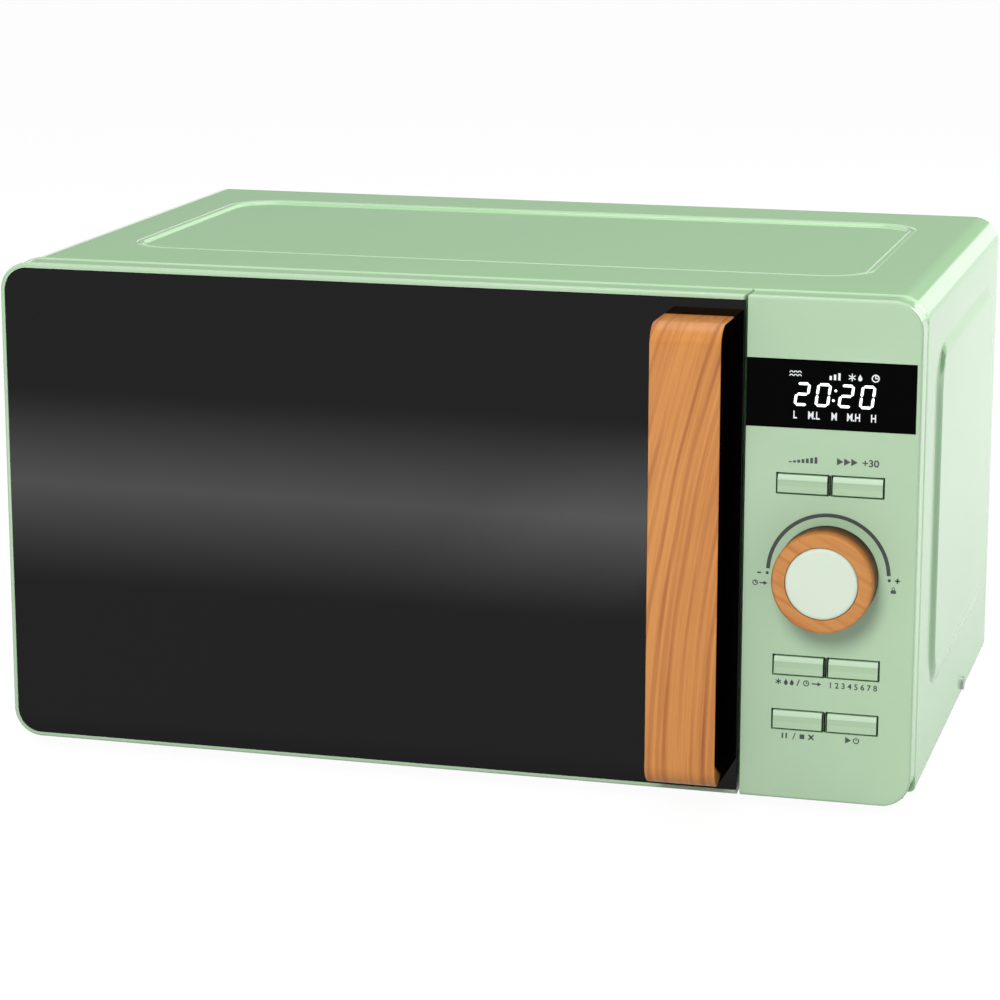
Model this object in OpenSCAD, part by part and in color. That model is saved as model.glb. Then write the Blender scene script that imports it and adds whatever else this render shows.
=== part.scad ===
// Countertop microwave oven: side-hinged black glass door with a wooden bail handle,
// control panel with a rotary knob and six buttons, turntable, and the parts inside.
// Front faces -Y, +Z is up, +X is to the right. The feet stand on Z = 0.

/* [Body] */
// Width of the front moulding
body_w = 452; // [446:1:480]
// Height of the front moulding
body_h = 240; // [238:1:265]
// Depth from the door face to the cabinet's rear edge
body_d = 290; // [286:1:330]
// Height of the front moulding above the floor
floor_clearance = 8; // [6:0.5:14]
// Radius of the outer corners
corner_r = 14; // [12:0.5:17]
// Thickness of the cabinet sheet
skin_t = 1; // [0.8:0.1:1.2]
// How far the cabinet lies inside the moulding's outline
cabinet_inset = 0.6; // [0.4:0.1:1]
// Depth of the rear panel's bulge behind the oven cavity
bulge_depth = 11; // [9:0.5:16]
// Depth of the recess pressed into the top
top_press = 1.5; // [0.8:0.1:2]
// Height of the pads pressed out of the sides
side_press = 2; // [1:0.1:2.5]

/* [Front] */
// Width of the control panel
panel_w = 81; // [78:0.5:92]
// Gap between door and control panel
seam_gap = 1.5; // [1:0.1:2.5]
// Depth of door and control panel mouldings
moulding_d = 21; // [21:0.5:24]
// Gap behind the closed door
face_gap = 1; // [0.8:0.1:1.6]
// Wall thickness of the plastic mouldings
wall_t = 2.5; // [2:0.1:3]
// Width of the rim around the door glass
rim_w = 2.2; // [1.6:0.1:3]
// Thickness of the door glass
glass_t = 3; // [2.5:0.1:3.5]

/* [Door parts] */
// Distance of the hinge axis from the door's side and face
hinge_inset = 9; // [9:0.25:10]
// Radius of the hinge pins
hinge_pin_r = 2.5; // [2:0.1:2.8]
// Thickness of the hinge arms
hinge_arm_t = 2; // [1.5:0.1:2.5]
// Width of the choke channel in the door
choke_w = 20; // [16:1:24]
// Thickness of the door's pressed steel
choke_t = 1; // [0.8:0.1:1.2]
// Upward travel of the latch
latch_travel = 3; // [2:0.25:4]

/* [Handle] */
// Width of the handle
handle_w = 34; // [28:1:38]
// How far the handle stands out
handle_reach = 30; // [28:1:40]
// Thickness of the grip
handle_t = 7.5; // [6:0.5:10]
// Height of each handle leg
handle_leg = 9; // [8:0.5:12]
// Distance from the handle's ends to the moulding's edges
handle_end_gap = 10.2; // [8:0.2:14]
// Distance from the handle to the door's free edge
handle_side_gap = 4.5; // [3:0.5:8]
// Radius of the handle's outer bends
handle_bend_r = 10; // [6:0.5:12]
// Radius of the handle's inner bends
handle_inner_r = 6; // [3:0.5:8]

/* [Oven] */
// Width of the bay for the power parts beside the cavity
bay_w = 117.8; // [114:0.2:124]
// Height of the air space between the cavity and the cabinet's top
head_room = 16.4; // [15:0.2:24]
// Gap between cabinet side and cavity wall
cavity_side_gap = 21; // [20:0.5:24]
// Height of the cavity floor above the base plate
cavity_lift = 19; // [19:0.5:22]
// Depth of the round well in the cavity floor
well_depth = 3; // [2:0.25:4]
// Radius of the round well
well_r = 112; // [106:1:118]

/* [Turntable] */
// Diameter of the glass tray
tray_d = 245; // [230:1:255]
// Thickness of the glass tray
tray_t = 4; // [3:0.25:5]
// Height of the tray's rim above its underside
tray_rim_h = 12; // [9:0.5:16]
// Diameter of the three rollers
roller_d = 13.4; // [12.5:0.1:14.5]
// Width of the rollers
roller_w = 8; // [6:0.5:10]
// Radius of the circle the rollers run on
roller_track_r = 92; // [86:1:96]
// Radius of the turntable motor
table_motor_r = 24; // [22:0.5:26]

/* [Controls] */
// Diameter of the wooden knob ring
knob_d = 47.5; // [42:0.5:52]
// Diameter of the knob's cap
knob_cap_d = 34; // [28:0.5:37]
// How far the knob stands out
knob_reach = 19; // [15:0.5:22]
// Height of the knob above the moulding's lower edge
knob_z = 110.5; // [106:0.5:116]
// Radius of the knob's shaft
shaft_r = 3; // [2.5:0.1:3.2]
// Width of one button
button_w = 24.3; // [22:0.1:25.5]
// Height of one button
button_h = 9.7; // [8:0.1:11]
// Gap between the two buttons of a row
button_gap = 1.5; // [1.2:0.1:2.5]
// Travel of the buttons
button_travel = 0.8; // [0.5:0.1:1]
// Heights of the three button rows above the moulding's lower edge
button_rows = [152.8, 65.6, 39.1];
// Height of the display window
display_h = 32.3; // [28:0.1:36]
// Height of the display's centre above the moulding's lower edge
display_z = 195.2; // [192:0.2:198]

/* [Power unit] */
// Diameter of the cooling fan
fan_d = 90; // [80:1:92]
// Number of fan blades
fan_blades = 5; // [4:1:7]
// Width and height of the magnetron
magnetron_h = 70; // [64:1:74]
// Length of the magnetron along the air flow
magnetron_l = 80; // [72:1:86]
// Number of cooling fins on the magnetron
fin_count = 5; // [4:1:6]
// Width of the transformer core
core_w = 86; // [78:1:90]
// Height of the transformer core
core_h = 72; // [64:1:76]
// Diameter of the capacitor can
capacitor_d = 42; // [36:1:48]
// Length of the capacitor can
capacitor_l = 85; // [75:1:90]

/* [Hidden] */
$fn = 64;
fit_gap = 0.3;             // between parts that do not bear on each other
running_gap = 0.05;        // radial, shaft in its bore
cut = 1;                   // how far a cutting shape runs past a face
pad_r = 22;                // plan corners of pressed panels
press_run = 6;             // width of the sloping borders of pressed panels

// Outline and depths. back(d) is the Y of a plane d behind the door face.
front_y = handle_reach - (handle_reach + body_d + bulge_depth) / 2;
function back(d) = front_y + d;
half_w = body_w / 2;
z_low = floor_clearance;
z_high = z_low + body_h;
z_mid = (z_low + z_high) / 2;
cab_x = half_w - cabinet_inset;
cab_low = z_low + 1;
cab_high = z_high - cabinet_inset;
cab_front = moulding_d + face_gap;
in_x = cab_x - skin_t;
in_high = cab_high - skin_t;
base_low = cab_low + skin_t;
base_high = base_low + skin_t;
low_r = 3;                 // lower corners of the cabinet
rear_lip = 8;              // width of the cabinet's rear lip

// Door
seam_x = half_w - panel_w;
door_right = seam_x - seam_gap;
door_wall = wall_t + 0.5;
web_back = glass_t + wall_t;
hinge_x = -half_w + hinge_inset;
hinge_back_r = moulding_d - hinge_inset + 0.5;
arm_w = 6;
arm_z = z_high - door_wall - 7;
pin_top = z_high - 4.4;
arm_gap = 0.8;
boss_r = 5.5;
handle_right = door_right - handle_side_gap;
handle_low = z_low + handle_end_gap;
handle_high = z_high - handle_end_gap;
handle_screw_r = 1.7;
handle_screw_zs = [handle_low + handle_leg / 2, handle_high - handle_leg / 2];

// Oven cavity
cav_left = -in_x + cavity_side_gap + skin_t;
bay_left = in_x - bay_w;
cav_right = bay_left - skin_t;
cav_floor = base_high + cavity_lift;
cav_top = in_high - head_room;
cav_rear = body_d + bulge_depth - 5;
tray_x = (cav_left + cav_right) / 2;
tray_y = back((cab_front + skin_t + cav_rear) / 2);
well_z = cav_floor - well_depth;
flange_right = seam_x + 8;

// Turntable
roller_z = well_z + fit_gap + roller_d / 2;
tray_z = roller_z + roller_d / 2 + fit_gap;
roller_hole_r = 2.45;
ring_out = roller_track_r - roller_w / 2 - fit_gap;
ring_in = ring_out - 8;
lobe_count = 3;
coupler_r = 22;
stem_r = 3.5;

// Choke pan and latch inside the door
choke_left = hinge_x + 9;
choke_right = cav_right + 12;
choke_low = z_low + door_wall + 3;
choke_high = z_high - door_wall - 3;
choke_back = moulding_d - 3.5;
cover_t = 2.5;
cover_right = door_right - door_wall - fit_gap;
latch_x = (choke_right + cover_right) / 2 + 1;
latch_w = 4;
latch_bar = 6;
latch_front = web_back + 3.5;
latch_tip = moulding_d + 18;
hook_h = 9;
hook_end = 63;             // from the door's lower and upper edges
hook_zs = [z_low + hook_end, z_high - hook_end];
bar_low = hook_zs[0] - 14;
bar_high = hook_zs[1] + 14;
slot_side = 2.5;
slot_low = 2;
spring_top = bar_high + 20;
bracket_t = 3;
bracket_x = latch_x + latch_w / 2 + slot_side + 2;
bracket_back = latch_tip + 26;
switch_h = 28;

// Control panel
knob_x = seam_x + (panel_w - rim_w / 2) / 2;
knob_zc = z_low + knob_z;
knob_gap = 1;
board_front = moulding_d - 9;
board_t = 1.6;
board_left = seam_x + wall_t + 3;
board_right = half_w - wall_t - 6;
display_low = z_low + display_z - display_h / 2;
display_t = 1.5;
panel_deep = moulding_d + face_gap / 2;
button_out = 0.8;
post_r = 3;

// Power unit on the right-hand side
fan_x = (bay_left + in_x) / 2;
fan_drop = 86.4;           // from the cabinet's top down to the fan's axis
fan_z = in_high - fan_drop;
duct_in_r = fan_d / 2 + 3;
duct_w = 2 * duct_in_r + 8;
duct_d = 26;
rear_y = body_d - 2 * skin_t;
guide_d = 34;
guide_y = 150;
tube_z = fan_z + 10;
tube_front = guide_y - magnetron_l / 2;
yoke_x = bay_left + guide_d;
yoke_w = 62;
yoke_t = 1.2;
anode_r = 20;
core_l = 66;               // iron stack, front to back
coil_l = 92;               // copper coils, front to back
coil_gap = 3;
core_y = bracket_back + coil_gap + coil_l / 2;
core_x = (bay_left + in_x) / 2;
capacitor_side = 14;
capacitor_x = core_x - capacitor_side;
capacitor_y = core_y + coil_l / 2 + coil_gap;
board_rest_z = fan_z + duct_w / 2 + 4;
gland_side = 34;
gland_up = 13;
gland_x = in_x - gland_side;
gland_z = board_rest_z + gland_up;
gland_r = 6;
screw_r = 1.8;
rear_screw_x = in_x - 74.4;
rear_screw_edge = 4;
rear_screws = [[-rear_screw_x, in_high - rear_screw_edge], [rear_screw_x, in_high - rear_screw_edge],
    [-(in_x - rear_screw_edge), z_mid], [in_x - rear_screw_edge, z_mid]];
side_screw_back = 98.6;    // from the cabinet's rear edge
side_screw = [body_d - side_screw_back, base_high + 5];
foot_r = 11;
foot_spots = [for (x = [-1, 1], d = [72, body_d - 30]) [x * (half_w - 38), back(d)]];

mint = [0.70, 0.82, 0.69];
black = [0.06, 0.06, 0.06];
wood = [0.80, 0.52, 0.30];
steel = [0.72, 0.73, 0.74];
grey = [0.35, 0.36, 0.37];
copper = [0.72, 0.42, 0.22];
cream = [0.90, 0.89, 0.84];
green_board = [0.12, 0.36, 0.20];

// ---- helpers ----

// A box given by two opposite corners, with depths behind the door face as Y
module block(x, d, z) {
    translate([x[0], back(d[0]), z[0]])
        cube([x[1] - x[0], d[1] - d[0], z[1] - z[0]]);
}

// Stands an outline drawn in X and Z up between two depths
module upright(d0, d1) {
    translate([0, back(d1), 0]) rotate([90, 0, 0]) linear_extrude(d1 - d0) children();
}

// A cylinder along Y between two depths
module rod_y(x, z, r, d0, d1) {
    translate([x, back(d1), z]) rotate([90, 0, 0]) cylinder(r = r, h = d1 - d0);
}

// A cylinder along X between two X values
module rod_x(d, z, r, x0, x1) {
    translate([x0, back(d), z]) rotate([0, 90, 0]) cylinder(r = r, h = x1 - x0);
}

// Rectangle with a radius for each corner: lower left, lower right, upper right, upper left
module outline(x0, z0, x1, z1, r) {
    difference() {
        translate([x0, z0]) square([x1 - x0, z1 - z0]);
        corner_cut(x0, z0, 1, 1, r[0]);
        corner_cut(x1, z0, -1, 1, r[1]);
        corner_cut(x1, z1, -1, -1, r[2]);
        corner_cut(x0, z1, 1, -1, r[3]);
    }
}

// What is cut off a corner to round it
module corner_cut(x, z, sx, sz, r) {
    if (r > 0) difference() {
        translate([x + (sx > 0 ? -cut : -r), z + (sz > 0 ? -cut : -r)]) square(r + cut);
        translate([x + sx * r, z + sz * r]) circle(r);
    }
}

// Pressed panel: a low pad with sloping borders and rounded corners, its larger face at z = 0
module pad(w, l, h, run) {
    intersection() {
        translate([0, 0, -cut]) linear_extrude(h + 2 * cut)
            outline(-w / 2, -l / 2, w / 2, l / 2, [pad_r, pad_r, pad_r, pad_r]);
        translate([0, l / 2, 0]) rotate([90, 0, 0]) linear_extrude(l)
            polygon([[-w / 2, 0], [w / 2, 0], [w / 2 - run, h], [-w / 2 + run, h]]);
        translate([-w / 2, 0, 0]) rotate([90, 0, 90]) linear_extrude(w)
            polygon([[-l / 2, 0], [l / 2, 0], [l / 2 - run, h], [-l / 2 + run, h]]);
    }
}

// ---- cabinet and chassis ----

// Pressed fields, by their distances from the edges of the cabinet's sheet
top_side = 32;
top_front = 39;
top_rear = 39;
side_front = 33;
side_rear = 18;
side_low = 37;
side_high = 27.4;
top_panel_w = 2 * (cab_x - top_side);
top_panel_l = body_d - cab_front - top_front - top_rear;
top_panel_d = cab_front + top_front + top_panel_l / 2;
side_panel_h = cab_high - cab_low - side_low - side_high;
side_panel_z = cab_low + side_low + side_panel_h / 2;
side_panel_l = body_d - cab_front - side_front - side_rear;
side_panel_d = cab_front + side_front + side_panel_l / 2;

module cabinet_solid(inset) {
    difference() {
        upright(cab_front, body_d)
            outline(-cab_x + inset, cab_low + inset, cab_x - inset, cab_high - inset,
                [low_r - inset, low_r - inset,
                    corner_r - cabinet_inset - inset, corner_r - cabinet_inset - inset]);
        translate([0, back(top_panel_d), cab_high - inset]) rotate([180, 0, 0])
            pad(top_panel_w, top_panel_l, top_press, press_run);
    }
    for (side = [-1, 1])
        translate([side * (cab_x - inset), back(side_panel_d), side_panel_z]) rotate([0, side * 90, 0])
            pad(side_panel_h, side_panel_l, side_press, press_run);
}

module cabinet() {
    color(mint) difference() {
        cabinet_solid(0);
        intersection() {
            cabinet_solid(skin_t);
            block([-half_w - side_press, half_w + side_press], [cab_front - cut, body_d - skin_t],
                [0, z_high]);
        }
        upright(cab_front - cut, cab_front + cut)
            outline(-in_x, base_low, in_x, in_high, [low_r - skin_t, low_r - skin_t,
                corner_r - cabinet_inset - skin_t, corner_r - cabinet_inset - skin_t]);
        block([-in_x + rear_lip, in_x - rear_lip], [body_d - 2, body_d + cut], [0, in_high - rear_lip]);
        block([-in_x + 14, in_x - 14], [cab_front - cut, body_d + cut], [0, base_low + 0.5]);
        for (p = rear_screws) rod_y(p[0], p[1], screw_r + 0.4, body_d - 2, body_d + cut);
        for (side = [-1, 1])
            rod_x(side_screw[0], side_screw[1], screw_r + 0.4,
                side * (cab_x - 1) - 2, side * (cab_x - 1) + 2);
    }
}

module base_plate() {
    edge_x = in_x - 0.2;
    flange_z = base_low + 15;
    bend = low_r - skin_t + 0.2;
    color(steel) difference() {
        upright(cab_front + skin_t + fit_gap, rear_y - fit_gap)
            polygon([[-edge_x, flange_z], [-edge_x, base_low + bend], [-edge_x + bend, base_low],
                [edge_x - bend, base_low], [edge_x, base_low + bend], [edge_x, flange_z],
                [edge_x - skin_t, flange_z], [edge_x - skin_t, base_low + bend + 0.4],
                [edge_x - bend - 0.4, base_high], [-edge_x + bend + 0.4, base_high],
                [-edge_x + skin_t, base_low + bend + 0.4], [-edge_x + skin_t, flange_z]]);
        for (p = foot_spots) translate([p[0], p[1], 0]) cylinder(r = 3 + running_gap, h = base_high + cut);
        for (side = [-1, 1])
            rod_x(side_screw[0], side_screw[1], screw_r + 0.2,
                side * (cab_x - 1.5) - 2, side * (cab_x - 1.5) + 2);
        for (i = [0:7]) block([fan_x - 40 + i * 11, fan_x - 34 + i * 11], [224, 244], [0, base_high + cut]);
    }
}

bulge_x = [cav_left - skin_t - 3, bay_left + 3];
bulge_z = [well_z - skin_t - 1, cav_top + skin_t + 1.5];

module rear_panel() {
    slot_gap = 9;
    color(mint) difference() {
        union() {
            upright(rear_y, rear_y + skin_t)
                outline(-in_x + fit_gap, base_high + fit_gap, in_x - fit_gap, in_high - fit_gap,
                    [0, 0, corner_r - 2, corner_r - 2]);
            block([bulge_x[0] - skin_t, bulge_x[1] + skin_t], [rear_y, body_d + bulge_depth],
                [bulge_z[0] - skin_t, bulge_z[1] + skin_t]);
        }
        block(bulge_x, [rear_y - cut, body_d + bulge_depth - skin_t], bulge_z);
        for (i = [-4:4]) {
            half = sqrt(pow(fan_d / 2 - 4, 2) - pow(i * slot_gap, 2));
            block([fan_x - half, fan_x + half], [rear_y - cut, rear_y + 2 * skin_t],
                [fan_z + i * slot_gap - 2.5, fan_z + i * slot_gap + 2.5]);
        }
        for (i = [0:9]) block([bulge_x[0] + 20 + i * 9, bulge_x[0] + 24 + i * 9],
            [body_d + bulge_depth - 2, body_d + bulge_depth + cut], [bulge_z[1] - 42, bulge_z[1] - 14]);
        for (p = rear_screws) rod_y(p[0], p[1], screw_r + 0.2, rear_y - cut, rear_y + 2 * skin_t);
        rod_y(gland_x, gland_z, gland_r + running_gap, rear_y - cut, rear_y + 2 * skin_t);
    }
}

// ---- oven cavity and microwave feed ----

port_y = [guide_y - 30, guide_y + 30];
port_z = [tube_z - 20, tube_z + 20];
guide_edge = 6;            // waveguide past its port
cover_edge = 8;            // mica sheet past the port
lamp_d = 80;
lamp_z = cav_top - 16;

module hinge_slot_cut(z) {
    block([hinge_x - arm_w / 2 - 1, hinge_x + arm_w / 2 + 1], [cab_front - cut, cab_front + skin_t + cut],
        [z - 1, z + hinge_arm_t + 1]);
}

module oven_cavity() {
    color(steel) difference() {
        union() {
            block([cav_left - skin_t, cav_right + skin_t], [cab_front, cav_rear + skin_t],
                [cav_floor - skin_t, cav_top + skin_t]);
            translate([tray_x, tray_y, well_z - skin_t]) cylinder(r = well_r + skin_t, h = well_depth);
            intersection() {
                upright(cab_front, cab_front + skin_t)
                    outline(-in_x + fit_gap, base_high + 0.2, in_x - fit_gap, in_high - 0.2,
                        [0, 0, corner_r - 1.5, corner_r - 1.5]);
                block([-half_w, flange_right], [0, body_d], [0, z_high]);
            }
        }
        block([cav_left, cav_right], [cab_front - cut, cav_rear], [cav_floor, cav_top]);
        translate([tray_x, tray_y, well_z]) cylinder(r = well_r, h = well_depth + cut);
        translate([tray_x, tray_y, 0]) cylinder(r = stem_r + 3.5, h = cav_floor);
        block([cav_right - cut, cav_right + 2], port_y, port_z);
        for (i = [-1:1], j = [-1:1])
            rod_x(lamp_d + i * 8, lamp_z + j * 8, 2.5, cav_right - cut, cav_right + 2);
        for (i = [0:5], j = [0:2])
            rod_x(cav_rear - 30 - i * 9, cav_top - 16 - j * 9, 2.5, cav_left - 2, cav_left + cut);
        for (z = hook_zs)
            block([latch_x - latch_w / 2 - slot_side, latch_x + latch_w / 2 + slot_side],
                [cab_front - cut, cab_front + 2], [z - slot_low, z + hook_h + latch_travel + slot_low]);
        hinge_slot_cut(arm_z);
        hinge_slot_cut(2 * z_mid - arm_z - hinge_arm_t);
    }
}

module waveguide() {
    color(steel) difference() {
        block([bay_left, yoke_x], [port_y[0] - guide_edge, port_y[1] + guide_edge],
            [port_z[0] - guide_edge, port_z[1] + guide_edge]);
        block([bay_left - cut, yoke_x - skin_t],
            [port_y[0] - guide_edge + skin_t, port_y[1] + guide_edge - skin_t],
            [port_z[0] - guide_edge + skin_t, port_z[1] + guide_edge - skin_t]);
        rod_x(guide_y, tube_z, 9, yoke_x - 3, yoke_x + cut);
    }
}

module waveguide_cover() {
    color(cream) block([cav_right - 0.6, cav_right], [port_y[0] - cover_edge, port_y[1] + cover_edge],
        [port_z[0] - cover_edge, port_z[1] + cover_edge]);
}

// ---- turntable ----

module turntable_motor() {
    color(steel) translate([tray_x, tray_y, 0]) difference() {
        union() {
            translate([0, 0, base_high + 0.5])
                cylinder(r = table_motor_r, h = well_z - skin_t - base_high - 0.5);
            translate([-table_motor_r - 8, -5, well_z - skin_t - 1]) cube([2 * table_motor_r + 16, 10, 1]);
        }
        cylinder(r = stem_r + running_gap, h = well_z);
    }
}

module turntable_coupler() {
    color(grey) translate([tray_x, tray_y, 0]) {
        translate([0, 0, base_high + 3]) cylinder(r = stem_r, h = cav_floor - base_high);
        translate([0, 0, cav_floor + 1]) cylinder(r = 9, h = tray_z - fit_gap - cav_floor - 1);
        for (i = [0:lobe_count - 1]) rotate(i * 360 / lobe_count)
            translate([0, -4, tray_z - fit_gap - 5]) cube([coupler_r, 8, 5]);
    }
}

module roller_ring() {
    color(cream) translate([tray_x, tray_y, roller_z]) {
        difference() {
            translate([0, 0, -3]) cylinder(r = ring_out, h = 6, $fn = 128);
            translate([0, 0, -3 - cut]) cylinder(r = ring_in, h = 6 + 2 * cut, $fn = 128);
        }
        for (i = [0:2]) rotate([0, 90, i * 120]) {
            translate([0, 0, ring_out - 2])
                cylinder(r = roller_hole_r - running_gap, h = roller_w + 3.2 + 2 * fit_gap);
            translate([0, 0, ring_out + roller_w + 2 * fit_gap]) cylinder(r = 3.4, h = 1.6);
        }
    }
}

module roller(i) {
    color(grey) translate([tray_x, tray_y, roller_z]) rotate([0, 90, i * 120])
        translate([0, 0, roller_track_r - roller_w / 2]) difference() {
            cylinder(r = roller_d / 2, h = roller_w);
            translate([0, 0, -cut]) cylinder(r = roller_hole_r, h = roller_w + 2 * cut);
        }
}

module glass_tray() {
    r = tray_d / 2;
    rim_run = 9;
    color([0.8, 0.9, 0.92, 0.5]) translate([tray_x, tray_y, tray_z]) {
        rotate_extrude($fn = 128)
            polygon([[0, 0], [r - rim_run - 3, 0], [r, tray_rim_h - 1.5], [r, tray_rim_h],
                [r - 3, tray_rim_h], [r - rim_run - 5, tray_t], [0, tray_t]]);
        for (i = [0:lobe_count - 1]) rotate(i * 360 / lobe_count + 180 / lobe_count)
            translate([11, -5, -4]) cube([coupler_r - 11, 10, 4 + cut]);
    }
}

// ---- microwave generator and power parts ----

module magnetron_frame() {
    color(steel) difference() {
        union() {
            block([yoke_x, yoke_x + yoke_w], [tube_front, tube_front + magnetron_l],
                [tube_z - magnetron_h / 2, tube_z + magnetron_h / 2]);
            block([yoke_x + yoke_w, in_x - 4], [guide_y - 26, guide_y + 26], [tube_z - 24, tube_z + 24]);
        }
        block([yoke_x + yoke_t, yoke_x + yoke_w - yoke_t],
            [tube_front - cut, tube_front + magnetron_l + cut],
            [tube_z - magnetron_h / 2 + yoke_t, tube_z + magnetron_h / 2 - yoke_t]);
        rod_x(guide_y, tube_z, 9, yoke_x - cut, yoke_x + 3);
    }
}

module magnetron_anode() {
    magnet_t = 10;
    color(copper) {
        rod_x(guide_y, tube_z, anode_r, yoke_x + yoke_t + magnet_t, yoke_x + yoke_w - yoke_t - magnet_t);
        rod_x(guide_y, tube_z, 8, yoke_x - guide_d + 8, yoke_x + yoke_w - yoke_t);
    }
}

module magnetron_magnets() {
    magnet_t = 10;
    color(black) for (x = [yoke_x + yoke_t, yoke_x + yoke_w - yoke_t - magnet_t]) difference() {
        rod_x(guide_y, tube_z, 27, x, x + magnet_t);
        rod_x(guide_y, tube_z, 8.2, x - cut, x + magnet_t + cut);
    }
}

module magnetron_fins() {
    magnet_t = 10;
    first = yoke_x + yoke_t + magnet_t + 3;
    last = yoke_x + yoke_w - yoke_t - magnet_t - 4;
    color([0.85, 0.85, 0.87]) for (i = [0:fin_count - 1]) {
        x = first + i * (last - first) / (fin_count - 1);
        difference() {
            block([x, x + 1], [tube_front + 2, tube_front + magnetron_l - 2],
                [tube_z - magnetron_h / 2 + yoke_t, tube_z + magnetron_h / 2 - yoke_t]);
            rod_x(guide_y, tube_z, anode_r, x - cut, x + 2);
        }
    }
}

module transformer_core() {
    window_z = [base_high + core_h * 0.26, base_high + core_h * 0.78];
    color(grey) difference() {
        union() {
            block([core_x - core_w / 2, core_x + core_w / 2], [core_y - core_l / 2, core_y + core_l / 2],
                [base_high + 1, base_high + core_h]);
            block([core_x - core_w / 2 - 8, core_x + core_w / 2 + 8],
                [core_y - core_l / 2, core_y + core_l / 2],
                [base_high, base_high + 1.5]);
        }
        for (side = [-1, 1])
            block([core_x + side * core_w / 4 - 9, core_x + side * core_w / 4 + 9],
                [core_y - core_l / 2 - cut, core_y + core_l / 2 + cut], window_z);
    }
}

module transformer_coils() {
    window_z = [base_high + core_h * 0.26, base_high + core_h * 0.78];
    middle = window_z[0] + (window_z[1] - window_z[0]) * 0.45;
    wide = core_w / 4 + 8.6;
    color(copper) for (z = [[window_z[0] + fit_gap, middle - 1], [middle + 1, window_z[1] - fit_gap]])
        difference() {
            block([core_x - wide, core_x + wide], [core_y - coil_l / 2, core_y + coil_l / 2], z);
            block([core_x - core_w / 4 + 9, core_x + core_w / 4 - 9],
                [core_y - core_l / 2, core_y + core_l / 2],
                [z[0] - cut, z[1] + cut]);
        }
}

capacitor_r = capacitor_d / 2;

module capacitor() {
    z = base_high + capacitor_r + 1.5;
    color([0.75, 0.77, 0.78]) {
        rod_y(capacitor_x, z, capacitor_r, capacitor_y, capacitor_y + capacitor_l);
        for (side = [-1, 1])
            rod_y(capacitor_x + side * 8, z, 2,
                capacitor_y + capacitor_l - cut, capacitor_y + capacitor_l + 8);
    }
}

module capacitor_clamp() {
    z = base_high + capacitor_r + 1.5;
    mid = capacitor_y + capacitor_l / 2;
    color(steel) difference() {
        union() {
            rod_y(capacitor_x, z, capacitor_r + 1.4, mid - 8, mid + 8);
            block([capacitor_x - capacitor_r - 10, capacitor_x + capacitor_r + 10], [mid - 8, mid + 8],
                [base_high, base_high + 3]);
        }
        rod_y(capacitor_x, z, capacitor_r, mid - 9, mid + 9);
        for (side = [-1, 1]) translate([capacitor_x + side * (capacitor_r + 6), back(mid), base_high - cut])
            cylinder(r = screw_r + 0.2, h = 6);
    }
}

module diode() {
    aside = 14;
    behind = 20;
    foot = [8, 22, 1];
    body_r = 3.5;
    body_l = 14;
    x = capacitor_x + capacitor_r + aside;
    d = capacitor_y + behind;
    color(black) {
        block([x, x + foot[0]], [d, d + foot[1]], [base_high, base_high + foot[2]]);
        translate([x + foot[0] / 2, back(d + foot[1] / 2 - 1), base_high + foot[2]])
            cylinder(r = body_r, h = body_l);
    }
}

// ---- cooling and lighting ----

module fan_shroud() {
    front = rear_y - duct_d;
    post_h = board_rest_z - fan_z - duct_w / 2;
    color(grey) {
        difference() {
            block([fan_x - duct_w / 2, fan_x + duct_w / 2], [front, rear_y],
                [fan_z - duct_w / 2, fan_z + duct_w / 2]);
            rod_y(fan_x, fan_z, duct_in_r, front - cut, rear_y + cut);
        }
        for (side = [-1, 1])
            block([fan_x - duct_w / 2, fan_x + duct_w / 2], [front - 3, front],
                [fan_z + side * 16 - 4, fan_z + side * 16 + 4]);
        for (x = [-38, 38], d = [4, 20]) translate([fan_x + x, back(front + d), fan_z + duct_w / 2 - 0.01])
            cylinder(r = 3, h = post_h + 0.01);
    }
}

module fan_motor() {
    front = rear_y - duct_d;
    color(steel) difference() {
        union() {
            block([fan_x - 26, fan_x + 26], [front - 21, front - 3], [fan_z - 22, fan_z + 22]);
            block([fan_x - 12, fan_x + 12], [front - 25, front - 3.5], [fan_z + 22, fan_z + 36]);
            rod_y(fan_x, fan_z, 8, front - 3.5, front + 1);
        }
        rod_y(fan_x, fan_z, 2 + running_gap, front - 26, front + 2);
    }
}

module fan_blade() {
    front = rear_y - duct_d;
    hub = front + 3;
    color(black) {
        rod_y(fan_x, fan_z, 2, front - 20, hub + cut);
        rod_y(fan_x, fan_z, 11, hub, hub + 16);
        intersection() {
            rod_y(fan_x, fan_z, fan_d / 2, hub, hub + 18);
            for (i = [0:fan_blades - 1])
                translate([fan_x, back(hub + 8), fan_z]) rotate([0, i * 360 / fan_blades, 0])
                    translate([8, 0, 0]) rotate([32, 0, 0])
                        translate([0, -0.8, -14]) cube([fan_d / 2, 1.6, 28]);
        }
    }
}

module lamp_holder() {
    color(cream) difference() {
        block([bay_left, bay_left + 30], [lamp_d - 14, lamp_d + 14], [lamp_z - 13, lamp_z + 13]);
        block([bay_left - cut, bay_left + 20], [lamp_d - 12, lamp_d + 12], [lamp_z - 11, lamp_z + 11]);
        rod_x(lamp_d, lamp_z, 5 + running_gap, bay_left + 19, bay_left + 31);
    }
}

module oven_lamp() {
    color([1, 0.95, 0.8]) translate([bay_left + 3, back(lamp_d), lamp_z]) rotate([0, 90, 0])
        rotate_extrude() polygon([[0, 0], [4, 0], [7, 2.5], [8, 6], [7.5, 9.5], [5, 13], [5, 29], [0, 29]]);
}

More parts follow.
